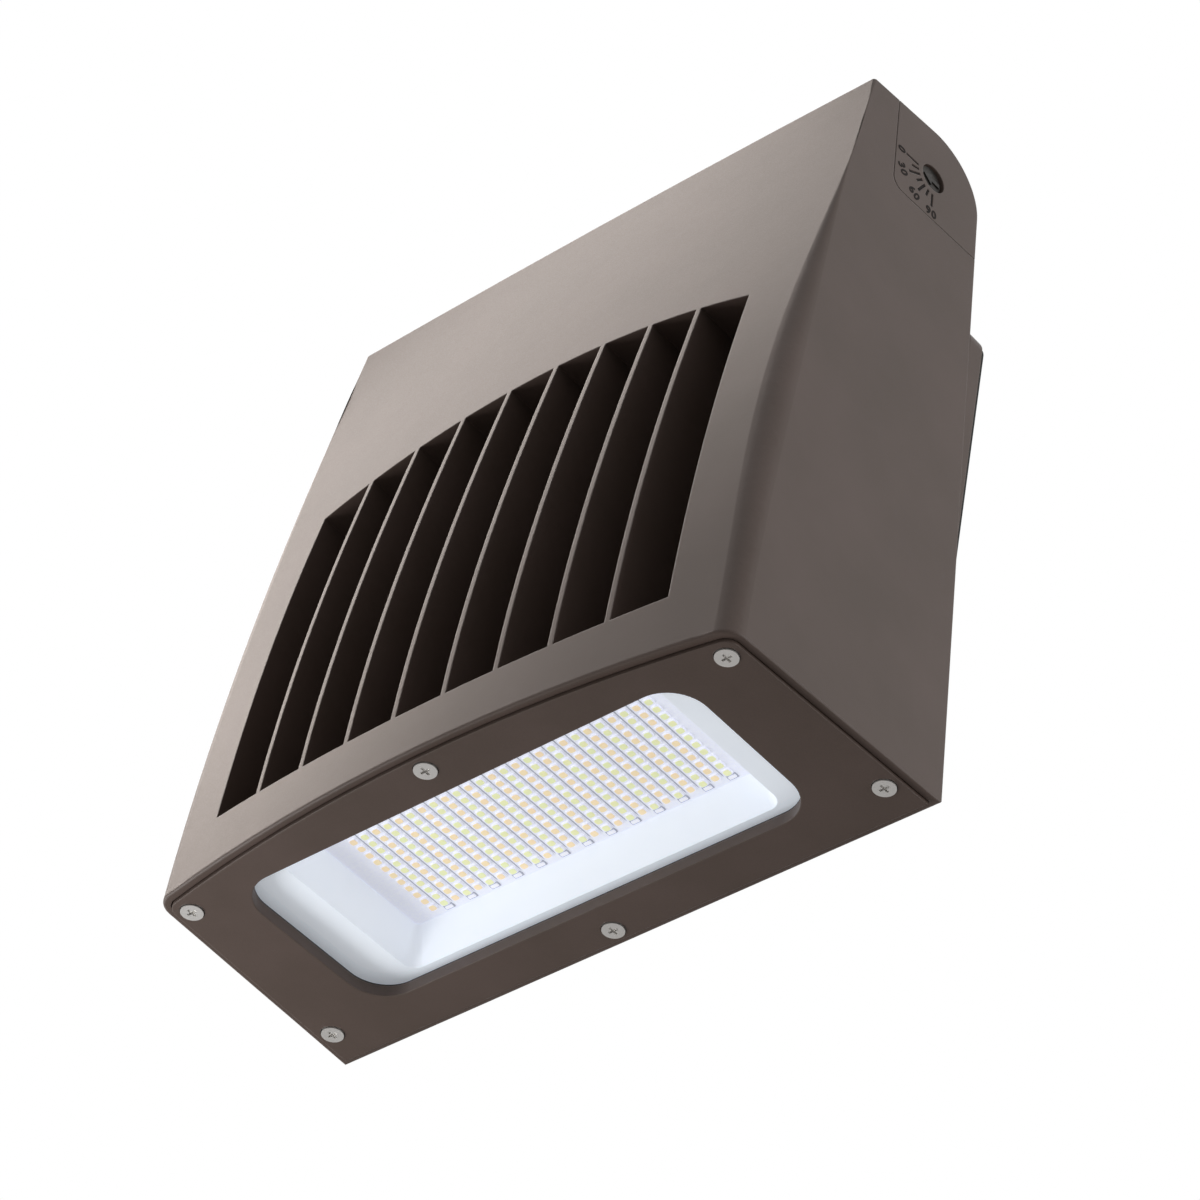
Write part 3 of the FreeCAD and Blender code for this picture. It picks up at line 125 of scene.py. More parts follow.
def between(tree, factor, low, high):
    """A number that runs from low to high as the factor runs over the noise's usual span."""
    return add(tree, "ShaderNodeMapRange", None,
               {"Value": factor, "From Min": NOISE_LOW, "From Max": NOISE_HIGH,
                "To Min": low, "To Max": high})


def two_tones(tree, factor, dark, light):
    """A colour that drifts between two hex codes."""
    spread = between(tree, factor, 0.0, 1.0)
    return add(tree, "ShaderNodeMix", {"data_type": "RGBA"},
               {"Factor": spread, "A": to_linear(dark), "B": to_linear(light)})


def dents(tree, height, depth_mm, strength=1.0, over=None):
    """Bumps as deep as depth_mm, on top of another bump if one is given."""
    inputs = {"Height": (height, "Fac") if height.bl_idname == "ShaderNodeTexNoise" else height,
              "Distance": depth_mm * MM, "Strength": strength}
    if over:
        inputs["Normal"] = over
    return add(tree, "ShaderNodeBump", None, inputs)


print("a grain of 1 mm is a noise with a scale of", round(1 / MM))

# %% [markdown]
# Most finishes need no more than one grain, which moves the colour, the gloss and the dents
# together, as a real grain does. One function makes such a finish, and another one lays a finish
# on pieces from CAD, which come with a plain one.

# %% Simple finishes
def simple_finish(name, dark, light, rough, size_mm, depth_mm, metallic=0.0, glow=0.0, gloss=0.5):
    """A finish with one grain for its colour, gloss and dents. It may glow, or shine less."""
    made, tree, shader, coords = new_material(name)
    spots = grain(tree, coords, size_mm)
    shader.inputs["Metallic"].default_value = metallic
    shader.inputs["Emission Color"].default_value = to_linear(light)
    shader.inputs["Emission Strength"].default_value = glow
    shader.inputs["Specular IOR Level"].default_value = gloss
    tree.links.new(pick(two_tones(tree, spots, dark, light).outputs, "Result"),
                   shader.inputs["Base Color"])
    tree.links.new(between(tree, spots, rough - ROUGH_DRIFT, rough + ROUGH_DRIFT).outputs[0],
                   shader.inputs["Roughness"])
    tree.links.new(dents(tree, spots, depth_mm).outputs[0], shader.inputs["Normal"])
    return made


def paint_nodes(finish, *names):
    """Gives CAD nodes a finish in place of the plain one that they came with."""
    for name in names:
        for holder in nodes[name].material_slots:
            holder.material = finish
    print(finish.name, "on", ", ".join(names))


print(len(nodes), "CAD nodes wait for their finish")

# %% [markdown]
# The castings are die-cast aluminium with a dark bronze polyester powder coat. Powder melts into
# a skin with a fine sandy texture, grains of about 0.45 mm, over soft waves of 5 mm, and its
# colour drifts in clouds of a few centimetres. It is not a metal to the eye: satin, with a broad
# soft highlight. At sharp edges the colour is painted paler, a painted highlight where a rounded
# edge would catch the light. The Bevel node gives the direction that a rounded edge would have,
# and where that differs from the true direction of the surface, there is an edge.

# %% Bronze powder coat
SAND_SIZE, WAVE_SIZE, CLOUD_SIZE = 0.45, 5.0, 38.0  # all in mm, as the two depths are
SAND_DEPTH, WAVE_DEPTH = 0.035, 0.05
# the tone of the painted highlight that sharp edges get
EDGE_RADIUS, EDGE_HIGHLIGHT_TONE = 0.7 * MM, "#7a6d66"
BEND_STARTS, BEND_FULL = 0.985, 0.85  # cosines of the angle between true and rounded surface
EDGE_HIGHLIGHT_SHARE = 0.35  # how far the painted highlight at sharp edges goes towards its tone
BRONZE_ROUGH, BRONZE_GLOSS = (0.4, 0.52), 0.32


def bronze_powder_coat():
    """Satin bronze with sand, waves and clouds in it, and a painted highlight, paler, at sharp
    edges.
    """
    made, tree, shader, coords = new_material("powder_coated_cast_aluminium")
    sand = grain(tree, coords, SAND_SIZE, detail=3.0)
    waves = grain(tree, coords, WAVE_SIZE, detail=1.0)
    clouds = grain(tree, coords, CLOUD_SIZE, detail=3.0)
    body = two_tones(tree, clouds, BRONZE_DARK, BRONZE_LIGHT)
    speckled = add(tree, "ShaderNodeMix", {"data_type": "RGBA", "blend_type": "MULTIPLY"},
                   {"Factor": 0.5, "A": body, "B": two_tones(tree, sand, "#dcdcdc", "#ffffff")})
    rounded = add(tree, "ShaderNodeBevel", {"samples": 4}, {"Radius": EDGE_RADIUS})
    flat = add(tree, "ShaderNodeNewGeometry")
    facing = add(tree, "ShaderNodeVectorMath", {"operation": "DOT_PRODUCT"},
                 {0: rounded, 1: (flat, "Normal")})
    edge = add(tree, "ShaderNodeMapRange", None,
               {"Value": (facing, "Value"), "From Min": BEND_STARTS, "From Max": BEND_FULL,
                "To Max": EDGE_HIGHLIGHT_SHARE})
    # painted highlight: the colour turns paler where the rounded direction leaves the true one
    painted_edge_highlight = add(tree, "ShaderNodeMix", {"data_type": "RGBA"},
               {"Factor": edge, "A": speckled, "B": to_linear(EDGE_HIGHLIGHT_TONE)})
    waved = dents(tree, waves, WAVE_DEPTH, strength=0.5, over=rounded)
    sanded = dents(tree, sand, SAND_DEPTH, strength=0.7, over=waved)
    tree.links.new(pick(painted_edge_highlight.outputs, "Result"), shader.inputs["Base Color"])
    tree.links.new(between(tree, sand, *BRONZE_ROUGH).outputs[0], shader.inputs["Roughness"])
    shader.inputs["Specular IOR Level"].default_value = BRONZE_GLOSS
    tree.links.new(sanded.outputs[0], shader.inputs["Normal"])
    return made


bronze = bronze_powder_coat()
paint_nodes(bronze, "housing", "lens_frame", "bay_cover", "wall_box", "box_cover",
            "dial_cover_right", "dial_cover_left")

# %% [markdown]
# The seals and cable grommets are moulded silicone rubber: almost black, matt, with the faint
# grain of the mould. Rubber scatters light in all directions, so its roughness is high. The wall
# seal is a closed-cell foam, and its cells of about a millimetre show as small pits.

# %% Rubber and foam
rubber = simple_finish("moulded_silicone_rubber", "#191817", "#262423", 0.72, 0.8, 0.03)
paint_nodes(rubber, "frame_seal", "glass_seal", "bay_seal", "box_seal",
            "head_grommet", "box_grommet")
CELL_SIZE, CELL_DEPTH, FOAM_ROUGH = 1.1 * MM, 0.15 * MM, 0.9


def cell_foam():
    """Dark foam with a pit for each cell."""
    made, tree, shader, coords = new_material("closed_cell_foam")
    cells = add(tree, "ShaderNodeTexVoronoi", None,
                {"Vector": (coords, "Object"), "Scale": 1 / CELL_SIZE})
    tint = two_tones(tree, (cells, "Distance"), "#141414", "#2d2c2b")
    pits = add(tree, "ShaderNodeBump", {"invert": True},
               {"Height": (cells, "Distance"), "Distance": CELL_DEPTH})
    tree.links.new(pick(tint.outputs, "Result"), shader.inputs["Base Color"])
    tree.links.new(pits.outputs[0], shader.inputs["Normal"])
    shader.inputs["Roughness"].default_value = FOAM_ROUGH
    return made


paint_nodes(cell_foam(), "wall_seal")

# %% [markdown]
# The screws of the covers and the driver are stainless steel, cold formed and then tumbled:
# bright, with fine scratches in all directions. The six screws of the window's frame keep the
# plain metal that they came with. The pivot's nuts and toothed washers are zinc plated, which is
# greyer and cloudier, and its bolts are plated black, so they stay dark in the dials' holes. The
# earth screw is stained green so that an electrician finds it. Metals keep Blender's usual IOR.

# %% Metals
stainless = simple_finish("tumbled_stainless_steel", "#d3cfc9", "#ece8e3", 0.28, 0.5, 0.012, 1.0)
zinc = simple_finish("zinc_plated_steel", "#63625f", "#8b8a87", 0.42, 1.5, 0.02, 1.0)
black_zinc = simple_finish("black_zinc_plated_steel", "#22201e", "#37332f", 0.5, 1.2, 0.04, 0.5)
green_steel = simple_finish("green_stained_steel", "#1f6b34", "#2f8a48", 0.38, 0.6, 0.012, 0.6)
paint_nodes(stainless, "bay_cover_screws", "box_cover_screws", "driver_screws")
paint_nodes(black_zinc, "pivot_bolts")
paint_nodes(zinc, "pivot_nuts", "toothed_washers")
paint_nodes(green_steel, "earth_screws")

# %% [markdown]
# Inside the window everything is white or nearly so. The board is aluminium under a white solder
# mask, a baked lacquer with a slight sheen. The tray that throws the light out is pressed sheet
# with a smooth white coat. Both are kept a little under full white, so that their shading shows.
# They also glow a little: the photo shows them nearly as bright as the paper behind the light,
# because its window was lit more than the casting. A small emission says that without a lamp
# that would brighten the bronze as well. The heat pad, the driver's potted case and the selector
# hide behind them, as plain grey silicone, potting compound, nylon and ABS.

# %% White parts and the driver
PAINTED_WINDOW_GLOW = 0.33  # painted light: how much the white parts glow, though they are no lamp
board_mask = simple_finish("white_solder_mask", "#dedfec", "#e5e6f1", 0.4, 1.2, 0.006, glow=PAINTED_WINDOW_GLOW)
tray_white = simple_finish("white_coated_steel", "#e6eaf3", "#eaeef6", 0.34, 6.0, 0.012, glow=PAINTED_WINDOW_GLOW)
pad_grey = simple_finish("heat_pad_silicone", "#7d838b", "#8d929a", 0.8, 0.9, 0.02)
driver_case = simple_finish("potted_driver_case", "#8f9194", "#a3a5a8", 0.5, 1.6, 0.02)
switch_black = simple_finish("moulded_nylon", "#151515", "#222222", 0.5, 0.9, 0.015)
knob_white = simple_finish("moulded_abs", "#d3d2cd", "#dddcd7", 0.42, 0.9, 0.01)
paint_nodes(board_mask, "led_board")
paint_nodes(tray_white, "reflector")
paint_nodes(pad_grey, "heat_pad")
paint_nodes(driver_case, "driver")
paint_nodes(switch_black, "selector_switch")
paint_nodes(knob_white, "selector_knob")

# %% [markdown]
# The window is 3 mm tempered float glass, clear with the faintest green. Tracing light through
# real refraction would make the inside dark and slow to render, so the pane is a clear layer
# under a mirror layer, and a Fresnel node says how much mirror shows: little when seen straight
# on, more at a slant. A very slow wave in the surface is what tempering leaves.

# %% Glass
ROLLER_SIZE, ROLLER_DEPTH = 60.0, 0.04  # mm, the waves that the rollers of the oven leave
GLASS_IOR = 1.5


def tempered_glass():
    """A clear layer under a mirror layer, on the side that faces the eye."""
    made, tree, shader, coords = new_material("tempered_float_glass")
    tree.nodes.remove(shader)
    roller_waves = dents(tree, grain(tree, coords, ROLLER_SIZE, detail=0.0), ROLLER_DEPTH)
    clear = add(tree, "ShaderNodeBsdfTransparent", None, {"Color": to_linear("#fdfefe")})
    mirror = add(tree, "ShaderNodeBsdfGlossy", None, {"Roughness": 0.03, "Normal": roller_waves})
    outside = add(tree, "ShaderNodeNewGeometry")
    front = add(tree, "ShaderNodeMath", {"operation": "SUBTRACT"},
                {0: 1.0, 1: (outside, "Backfacing")})
    slant = add(tree, "ShaderNodeFresnel", None, {"IOR": GLASS_IOR, "Normal": roller_waves})
    share = add(tree, "ShaderNodeMath", {"operation": "MULTIPLY"}, {0: front, 1: slant})
    pane = add(tree, "ShaderNodeMixShader", None, {0: share, 1: clear, 2: mirror})
    output = next(n for n in tree.nodes if n.bl_idname == "ShaderNodeOutputMaterial")
    tree.links.new(pane.outputs[0], output.inputs["Surface"])
    return made


paint_nodes(tempered_glass(), "lens_glass")

# %% [markdown]
# Pieces that repeat are made with Geometry Nodes: a small program that builds a shape, puts a
# copy on each point of a layout and joins the result. The sizes are the program's inputs, so a
# maker can change them without touching the nodes. When it has run, the result becomes a plain
# mesh, because a modifier would not survive the export.

# %% Geometry Nodes helpers
def new_tree(name, numbers):
    """A tree with a socket for each named number, one for its points and one for a material."""
    tree = bpy.data.node_groups.new(name, "GeometryNodeTree")
    sockets = tree.interface
    sockets.new_socket("Geometry", in_out="INPUT", socket_type="NodeSocketGeometry")
    for label, value in numbers.items():
        kind = "NodeSocketInt" if isinstance(value, int) else "NodeSocketFloat"
        sockets.new_socket(label, in_out="INPUT", socket_type=kind).default_value = value
    sockets.new_socket("Finish", in_out="INPUT", socket_type="NodeSocketMaterial")
    sockets.new_socket("Geometry", in_out="OUTPUT", socket_type="NodeSocketGeometry")
    return tree, add(tree, "NodeGroupInput")


def sum_up(tree, operation, first, second):
    """One step of arithmetic on two numbers."""
    return add(tree, "ShaderNodeMath", {"operation": operation}, {0: first, 1: second})


def finish_tree(tree, given, instances):
    """Ends a tree: real copies, with the finish that it was given."""
    real = add(tree, "GeometryNodeRealizeInstances", None, {"Geometry": instances})
    dressed = add(tree, "GeometryNodeSetMaterial", None,
                  {"Geometry": real, "Material": (given, "Finish")})
    add(tree, "NodeGroupOutput", None, {"Geometry": dressed})


def points_mesh(name, points):
    """A mesh of loose points."""
    mesh = bpy.data.meshes.new(name)
    mesh.from_pydata([tuple(p) for p in points], [], [])
    return mesh


def run_tree(name, tree, points, values, body, replaced=(), shape=None):
    """Runs a tree on some points, keeps the result as a plain mesh and puts it on its body.
    The shape, if there is one, is a function that moves the mesh's points once it is made."""
    piece = bpy.data.objects.new(name, points_mesh(name, points))
    bpy.context.scene.collection.objects.link(piece)
    modifier = piece.modifiers.new(tree.name, "NODES")
    modifier.node_group = tree
    for item in tree.interface.items_tree:
        if item.in_out == "INPUT" and item.name in values:
            modifier[item.identifier] = values[item.name]
    depsgraph = bpy.context.evaluated_depsgraph_get()
    made = bpy.data.meshes.new_from_object(piece.evaluated_get(depsgraph))
    piece.modifiers.clear()
    piece.data = made
    if shape:
        shape(made)
    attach(piece, body)
    if replaced:
        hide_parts(*replaced)
    print(name, "-", len(made.polygons), "faces")


# %% [markdown]
# Where do the copies go? The CAD model already knows. A node with several solids, such as the
# columns of light chips, is split into its islands, and each island's box gives a place.

# %% Find the solids of a node
WELD = 0.001 * MM  # points closer than this are one point


def solid_boxes(name):
    """The lowest and highest corners of each solid of a CAD node."""
    work = bmesh.new()
    work.from_mesh(nodes[name].data)
    bmesh.ops.remove_doubles(work, verts=work.verts, dist=WELD)
    left, boxes = set(work.verts), []
    while left:
        island, edge = set(), [left.pop()]
        while edge:
            vertex = edge.pop()
            island.add(vertex)
            for link in vertex.link_edges:
                other = link.other_vert(vertex)
                if other in left:
                    left.discard(other)
                    edge.append(other)
        places = [v.co for v in island]
        boxes.append((Vector([min(p[i] for p in places) for i in range(3)]),
                      Vector([max(p[i] for p in places) for i in range(3)])))
    work.free()
    return sorted(boxes, key=lambda b: tuple(b[0]))


column_boxes = solid_boxes("led_columns")
print(len(column_boxes), "columns of chips, the first one from",
      [round(v / MM, 1) for v in column_boxes[0][0]], "to",
      [round(v / MM, 1) for v in column_boxes[0][1]], "mm")

# %% [markdown]
# The light board carries 26 columns of light chips, 5 mm apart. A chip is a white plastic cup
# with a drop of phosphor gel in it, 2.5 mm across. Every second column glows warm and the
# others cool, so that the installer can pick the tint. The layout is a grid, and the shape is a
# flat pill with soft corners, so one tree makes the cups, the gel, the lines and the lugs. A
# squareness of 1 leaves the pill round, and towards 0 its corners fill out.

# %% A tree for flat pills on a grid
def pill_grid_tree():
    """Pills on a grid that is centred on the given point, with their base at its height."""
    numbers = {"Columns": 26, "Column Pitch": 5.0 * MM, "Rows": 13, "Row Pitch": 3.95 * MM,
               "Width": 3.0 * MM, "Length": 3.0 * MM, "Height": 0.5 * MM,
               "Corners": 12, "Squareness": 0.5}
    tree, given = new_tree("pills_on_a_grid", numbers)
    across = sum_up(tree, "MULTIPLY", (given, "Column Pitch"),
                    sum_up(tree, "SUBTRACT", (given, "Columns"), 1.0))
    along = sum_up(tree, "MULTIPLY", (given, "Row Pitch"),
                   sum_up(tree, "SUBTRACT", (given, "Rows"), 1.0))
    grid = add(tree, "GeometryNodeMeshGrid", None,
               {"Size X": across, "Size Y": along, "Vertices X": (given, "Columns"),
                "Vertices Y": (given, "Rows")})
    disc = add(tree, "GeometryNodeMeshCircle", {"fill_type": "NGON"},
               {"Vertices": (given, "Corners"), "Radius": 1.0})
    place = add(tree, "GeometryNodeInputPosition")
    parts = add(tree, "ShaderNodeSeparateXYZ", None, {0: place})
    squared = []
    for axis, size in (("X", "Width"), ("Y", "Length")):
        amount = add(tree, "ShaderNodeMath", {"operation": "ABSOLUTE"}, {0: (parts, axis)})
        bulged = sum_up(tree, "POWER", amount, (given, "Squareness"))
        signed = sum_up(tree, "MULTIPLY", bulged,
                        add(tree, "ShaderNodeMath", {"operation": "SIGN"}, {0: (parts, axis)}))
        half = sum_up(tree, "MULTIPLY", (given, size), 0.5)
        squared.append(sum_up(tree, "MULTIPLY", signed, half))
    corner = add(tree, "ShaderNodeCombineXYZ", None, {"X": squared[0], "Y": squared[1]})
    plate = add(tree, "GeometryNodeSetPosition", None, {"Geometry": disc, "Position": corner})
    walls = add(tree, "GeometryNodeExtrudeMesh", {"mode": "FACES"},
                {"Mesh": plate, "Offset Scale": (given, "Height")})
    bottom = add(tree, "GeometryNodeFlipFaces", None, {"Mesh": plate})
    pill = add(tree, "GeometryNodeMergeByDistance", None,
               {"Geometry": add(tree, "GeometryNodeJoinGeometry", None,
                                {"Geometry": [bottom, walls]}), "Distance": WELD})
    pills = add(tree, "GeometryNodeInstanceOnPoints", None, {"Points": grid, "Instance": pill})
    base = add(tree, "GeometryNodeInstanceOnPoints", None,
               {"Points": (given, "Geometry"), "Instance": pills})
    finish_tree(tree, given, base)
    return tree


pill_grid = pill_grid_tree()
print(pill_grid.name, "-", len(pill_grid.nodes), "nodes")

# %% [markdown]
# The gel is silicone full of phosphor powder: a pastel with no shine to speak of, warm peach for
# one tint and pale lemon for the other. Each drop differs a little, which a noise with spots of
# one chip's size gives. The cups are white moulded plastic, and the grey of the lines is the
# board showing where the white lacquer is routed away.

# %% Chip finishes
# The cups, the drops and the lines glow a little as well: painted light, as on the board.
PAINTED_LINE_GLOW = 0.25
cup_white = simple_finish("white_chip_housing", "#e4e4f0", "#ececf6", 0.45, 1.5, 0.004, glow=PAINTED_WINDOW_GLOW)
warm_gel = simple_finish("warm_phosphor_gel", "#f3d6b6", "#f1ddb3", 0.35, 4.2, 0.01, glow=PAINTED_WINDOW_GLOW)
cool_gel = simple_finish("cool_phosphor_gel", "#ece5b1", "#e2e8b8", 0.35, 4.2, 0.01, glow=PAINTED_WINDOW_GLOW)
line_grey = simple_finish("routed_board_gap", "#a2a5b2", "#b0b3bf", 0.5, 2.0, 0.006, glow=PAINTED_LINE_GLOW)
print("finishes:", ", ".join(f.name for f in (cup_white, warm_gel, cool_gel, line_grey)))

# %% [markdown]
# One run of the tree lays the cups, one each lays the warm and the cool drops on every second
# column, and one more lays the grey lines between the columns. The number of columns, their
# pitch and their length are read from the CAD node that the chips take the place of. The window
# looks down, so what stands proud of the board is lower than it.

# %% Light chips
COLUMNS = len(column_boxes)
COLUMN_PITCH = (column_boxes[-1][0].x - column_boxes[0][0].x) / (COLUMNS - 1)
CHIP_ROWS, CHIP_PITCH = 13, 3.95 * MM
# a size is a width, a length and a height, and the corners are their number and the squareness
CUP_SIZE, CUP_CORNERS = (3.0 * MM, 2.9 * MM, 0.5 * MM), (8, 0.35)
DROP_SIZE, DROP_CORNERS = (2.5 * MM, 2.4 * MM, 0.3 * MM), (12, 0.6)
DROP_PROUD = 0.15 * MM  # how far the gel stands out of its cup
LINE_WIDTH, LINE_HEIGHT, LINE_PROUD, LINE_CORNERS = 0.5 * MM, 0.16 * MM, 0.08 * MM, (8, 0.2)
columns_low, columns_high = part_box("led_columns")
COLUMN_LENGTH = columns_high.y - columns_low.y
CHIPS_Y = (columns_low.y + columns_high.y) / 2
chip_face, board_face = columns_low.z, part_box("led_board")[0].z
print(COLUMNS, "columns,", round(COLUMN_PITCH / MM, 2), "mm apart and",
      round(COLUMN_LENGTH / MM, 1), "mm long")


def pill_values(grid, size, corners, finish):
    """The values of the pill tree, by the names of its inputs."""
    names = ("Columns", "Column Pitch", "Rows", "Row Pitch", "Width", "Length", "Height",
             "Corners", "Squareness")
    return dict(zip(names, (*grid, *size, *corners)), Finish=finish)


def at_height(z, x=0.0, y=CHIPS_Y):
    """The single point that a grid is centred on."""
    return [Vector((x, y, z))]


# a grid is its columns and their pitch, and its rows and theirs
all_chips = (COLUMNS, COLUMN_PITCH, CHIP_ROWS, CHIP_PITCH)
every_second = (COLUMNS // 2, 2 * COLUMN_PITCH, CHIP_ROWS, CHIP_PITCH)
between_columns = (COLUMNS - 1, COLUMN_PITCH, 1, CHIP_PITCH)
run_tree("chip_cups", pill_grid, at_height(chip_face + DROP_PROUD),
         pill_values(all_chips, CUP_SIZE, CUP_CORNERS, cup_white),
         "head", ("led_columns",))
for word, side, gel in (("warm", -1, warm_gel), ("cool", 1, cool_gel)):
    run_tree(word + "_gel_drops", pill_grid, at_height(chip_face, side * COLUMN_PITCH / 2),
             pill_values(every_second, DROP_SIZE, DROP_CORNERS, gel), "head")
run_tree("lines_between_columns", pill_grid, at_height(board_face - LINE_PROUD),
         pill_values(between_columns, (LINE_WIDTH, COLUMN_LENGTH, LINE_HEIGHT), LINE_CORNERS,
                     line_grey), "head")

# %% [markdown]
# At the rear end of each cool column lies a solder lug, a white pad in a grey outline where the
# column's wire is tested in the factory. The outline is one pill and the pad another.

# %% Solder lugs
OUTLINE_SIZE, OUTLINE_PROUD = (4.0 * MM, 2.4 * MM, 0.3 * MM), 0.2 * MM
PAD_SIZE, PAD_PROUD = (3.0 * MM, 1.4 * MM, 0.4 * MM), 0.5 * MM
lug_low, lug_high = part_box("led_lugs")
lug_x, lug_y = (lug_low.x + lug_high.x) / 2, (lug_low.y + lug_high.y) / 2
lug_row = (COLUMNS // 2, 2 * COLUMN_PITCH, 1, CHIP_PITCH)
run_tree("lug_outlines", pill_grid, at_height(board_face - OUTLINE_PROUD, lug_x, lug_y),
         pill_values(lug_row, OUTLINE_SIZE, LINE_CORNERS, line_grey),
         "head", ("led_lugs",))
run_tree("lug_pads", pill_grid, at_height(board_face - PAD_PROUD, lug_x, lug_y),
         pill_values(lug_row, PAD_SIZE, LINE_CORNERS, cup_white), "head")

# %% [markdown]
# The dial on each side tells the tilt. Seven marks stand 15 degrees apart round the pivot, and
# the figures 0, 30, 60 and 90 stand outside every second mark, with their tops to the pivot.
# They are cast into the cover, and the figures are dark paint that hardly shines. The same dark
# finish lies as a thin slab on the floor of each mark's groove, which darkens it. The marks are a
# fan of small slabs, and one tree makes them for both sides.

# %% A tree for radial marks
MARK_STEP = radians(15)


def radial_marks_tree():
    """Slabs on a fan round the given point, the first to the front and every second one shorter."""
    numbers = {"Marks": 7, "Step": MARK_STEP, "Inner Radius": 8.2 * MM, "Long End": 14.5 * MM,
               "Short End": 11.8 * MM, "Width": 1.0 * MM, "Thickness": 0.1 * MM}
    tree, given = new_tree("radial_marks", numbers)
    fan = add(tree, "GeometryNodeMeshLine", None, {"Count": (given, "Marks"), "Offset": (0, 0, 0)})
    number = add(tree, "GeometryNodeInputIndex")
    odd = sum_up(tree, "MODULO", number, 2.0)
    shorter = sum_up(tree, "SUBTRACT", (given, "Long End"), (given, "Short End"))
    end = sum_up(tree, "SUBTRACT", (given, "Long End"), sum_up(tree, "MULTIPLY", odd, shorter))
    length = sum_up(tree, "SUBTRACT", end, (given, "Inner Radius"))
    middle = sum_up(tree, "MULTIPLY", sum_up(tree, "ADD", end, (given, "Inner Radius")), 0.5)
    angle = sum_up(tree, "ADD", sum_up(tree, "MULTIPLY", number, (given, "Step")), pi)
    along = sum_up(tree, "MULTIPLY", middle, sum_up(tree, "COSINE", angle, 0.0))
    over = sum_up(tree, "MULTIPLY", middle, sum_up(tree, "SINE", angle, 0.0))
    place = add(tree, "ShaderNodeCombineXYZ", None, {"Y": along, "Z": over})
    spread = add(tree, "GeometryNodeSetPosition", None, {"Geometry": fan, "Position": place})
    slabs = add(tree, "GeometryNodeInstanceOnPoints", None,
                {"Points": spread, "Instance": add(tree, "GeometryNodeMeshCube"),
                 "Rotation": add(tree, "ShaderNodeCombineXYZ", None, {"X": angle}),
                 "Scale": add(tree, "ShaderNodeCombineXYZ", None,
                              {"X": (given, "Thickness"), "Y": length, "Z": (given, "Width")})})
    base = add(tree, "GeometryNodeInstanceOnPoints", None,
               {"Points": (given, "Geometry"), "Instance": slabs})
    finish_tree(tree, given, base)
    return tree


radial_marks = radial_marks_tree()
print(radial_marks.name, "-", len(radial_marks.nodes), "nodes")

# %% [markdown]
# The tree leaves the marks flat at the middle of the object. The cover leans in by a few degrees,
# so each point is dropped onto it along the x axis, by a ray from a metre out. A slab ends up
# just above the floor of its groove, and its dark colour darkens the groove.

# %% Dial marks
PAINT_GLOSS, MARK_PROUD = 0.15, 0.15 * MM
# one dark finish for the figures' paint and for the slabs that darken the marks' grooves
dial_paint = simple_finish("dark_dial_marking", "#161210", "#201a18", 0.7, 0.6, 0.01,
                           gloss=PAINT_GLOSS)
pivot = Vector(next(j["pos_m"] for j in frame["joints"] if j["name"] == "head_tilt"))


def drop_onto(cover, side, lift):
    """A function that drops a mesh's points onto a cover, along x from its outer side."""
    mesh = nodes[cover].data
    skin = BVHTree.FromPolygons([v.co for v in mesh.vertices],
                                [list(face.vertices) for face in mesh.polygons])

    def drop(made):
        for vertex in made.vertices:
            start = Vector((side, vertex.co.y, vertex.co.z))
            found = skin.ray_cast(start, Vector((-side, 0, 0)))[0]
            vertex.co.x += found.x + side * lift
    return drop


print("the pivot lies at", [round(v / MM, 1) for v in pivot], "mm")
SIDES = (("right", 1), ("left", -1))  # a name and which way is out
for word, side in SIDES:
    run_tree("dial_marks_" + word, radial_marks, [Vector((0, pivot.y, pivot.z))],
             {"Finish": dial_paint}, "head",
             shape=drop_onto("dial_cover_" + word, side, MARK_PROUD))

# %% [markdown]
# The figures are plain numbers in Blender's own font, made a little bolder, as a casting needs
# strokes that paint will stay in. Each is turned so that its top points to the pivot and it reads
# from outside, and then dropped onto the cover like the marks.

# %% Dial figures
FIGURES = {"0": (180, 17.3), "30": (210, 18.4),  # each one's angle in degrees and radius in mm
           "60": (240, 18.5), "90": (270, 17.9)}
FIGURE_SIZE, STROKE, SPACING = 5.0 * MM, 0.19 * MM, 1.2
HALF_THICK, FIGURE_PROUD = 0.05 * MM, 0.03 * MM
CURVE_STEPS = 4  # few steps keep the figures light


def figure_mesh(text):
    """A flat closed mesh of a number, centred on the origin."""
    curve = bpy.data.curves.new("figure", "FONT")
    curve.body, curve.size, curve.extrude = text, FIGURE_SIZE, HALF_THICK
    curve.offset, curve.space_character = STROKE, SPACING
    curve.align_x, curve.align_y, curve.resolution_u = "CENTER", "CENTER", CURVE_STEPS
    holder = bpy.data.objects.new("figure", curve)
    bpy.context.scene.collection.objects.link(holder)
    depsgraph = bpy.context.evaluated_depsgraph_get()
    made = bpy.data.meshes.new_from_object(holder.evaluated_get(depsgraph))
    bpy.data.objects.remove(holder)
    return made


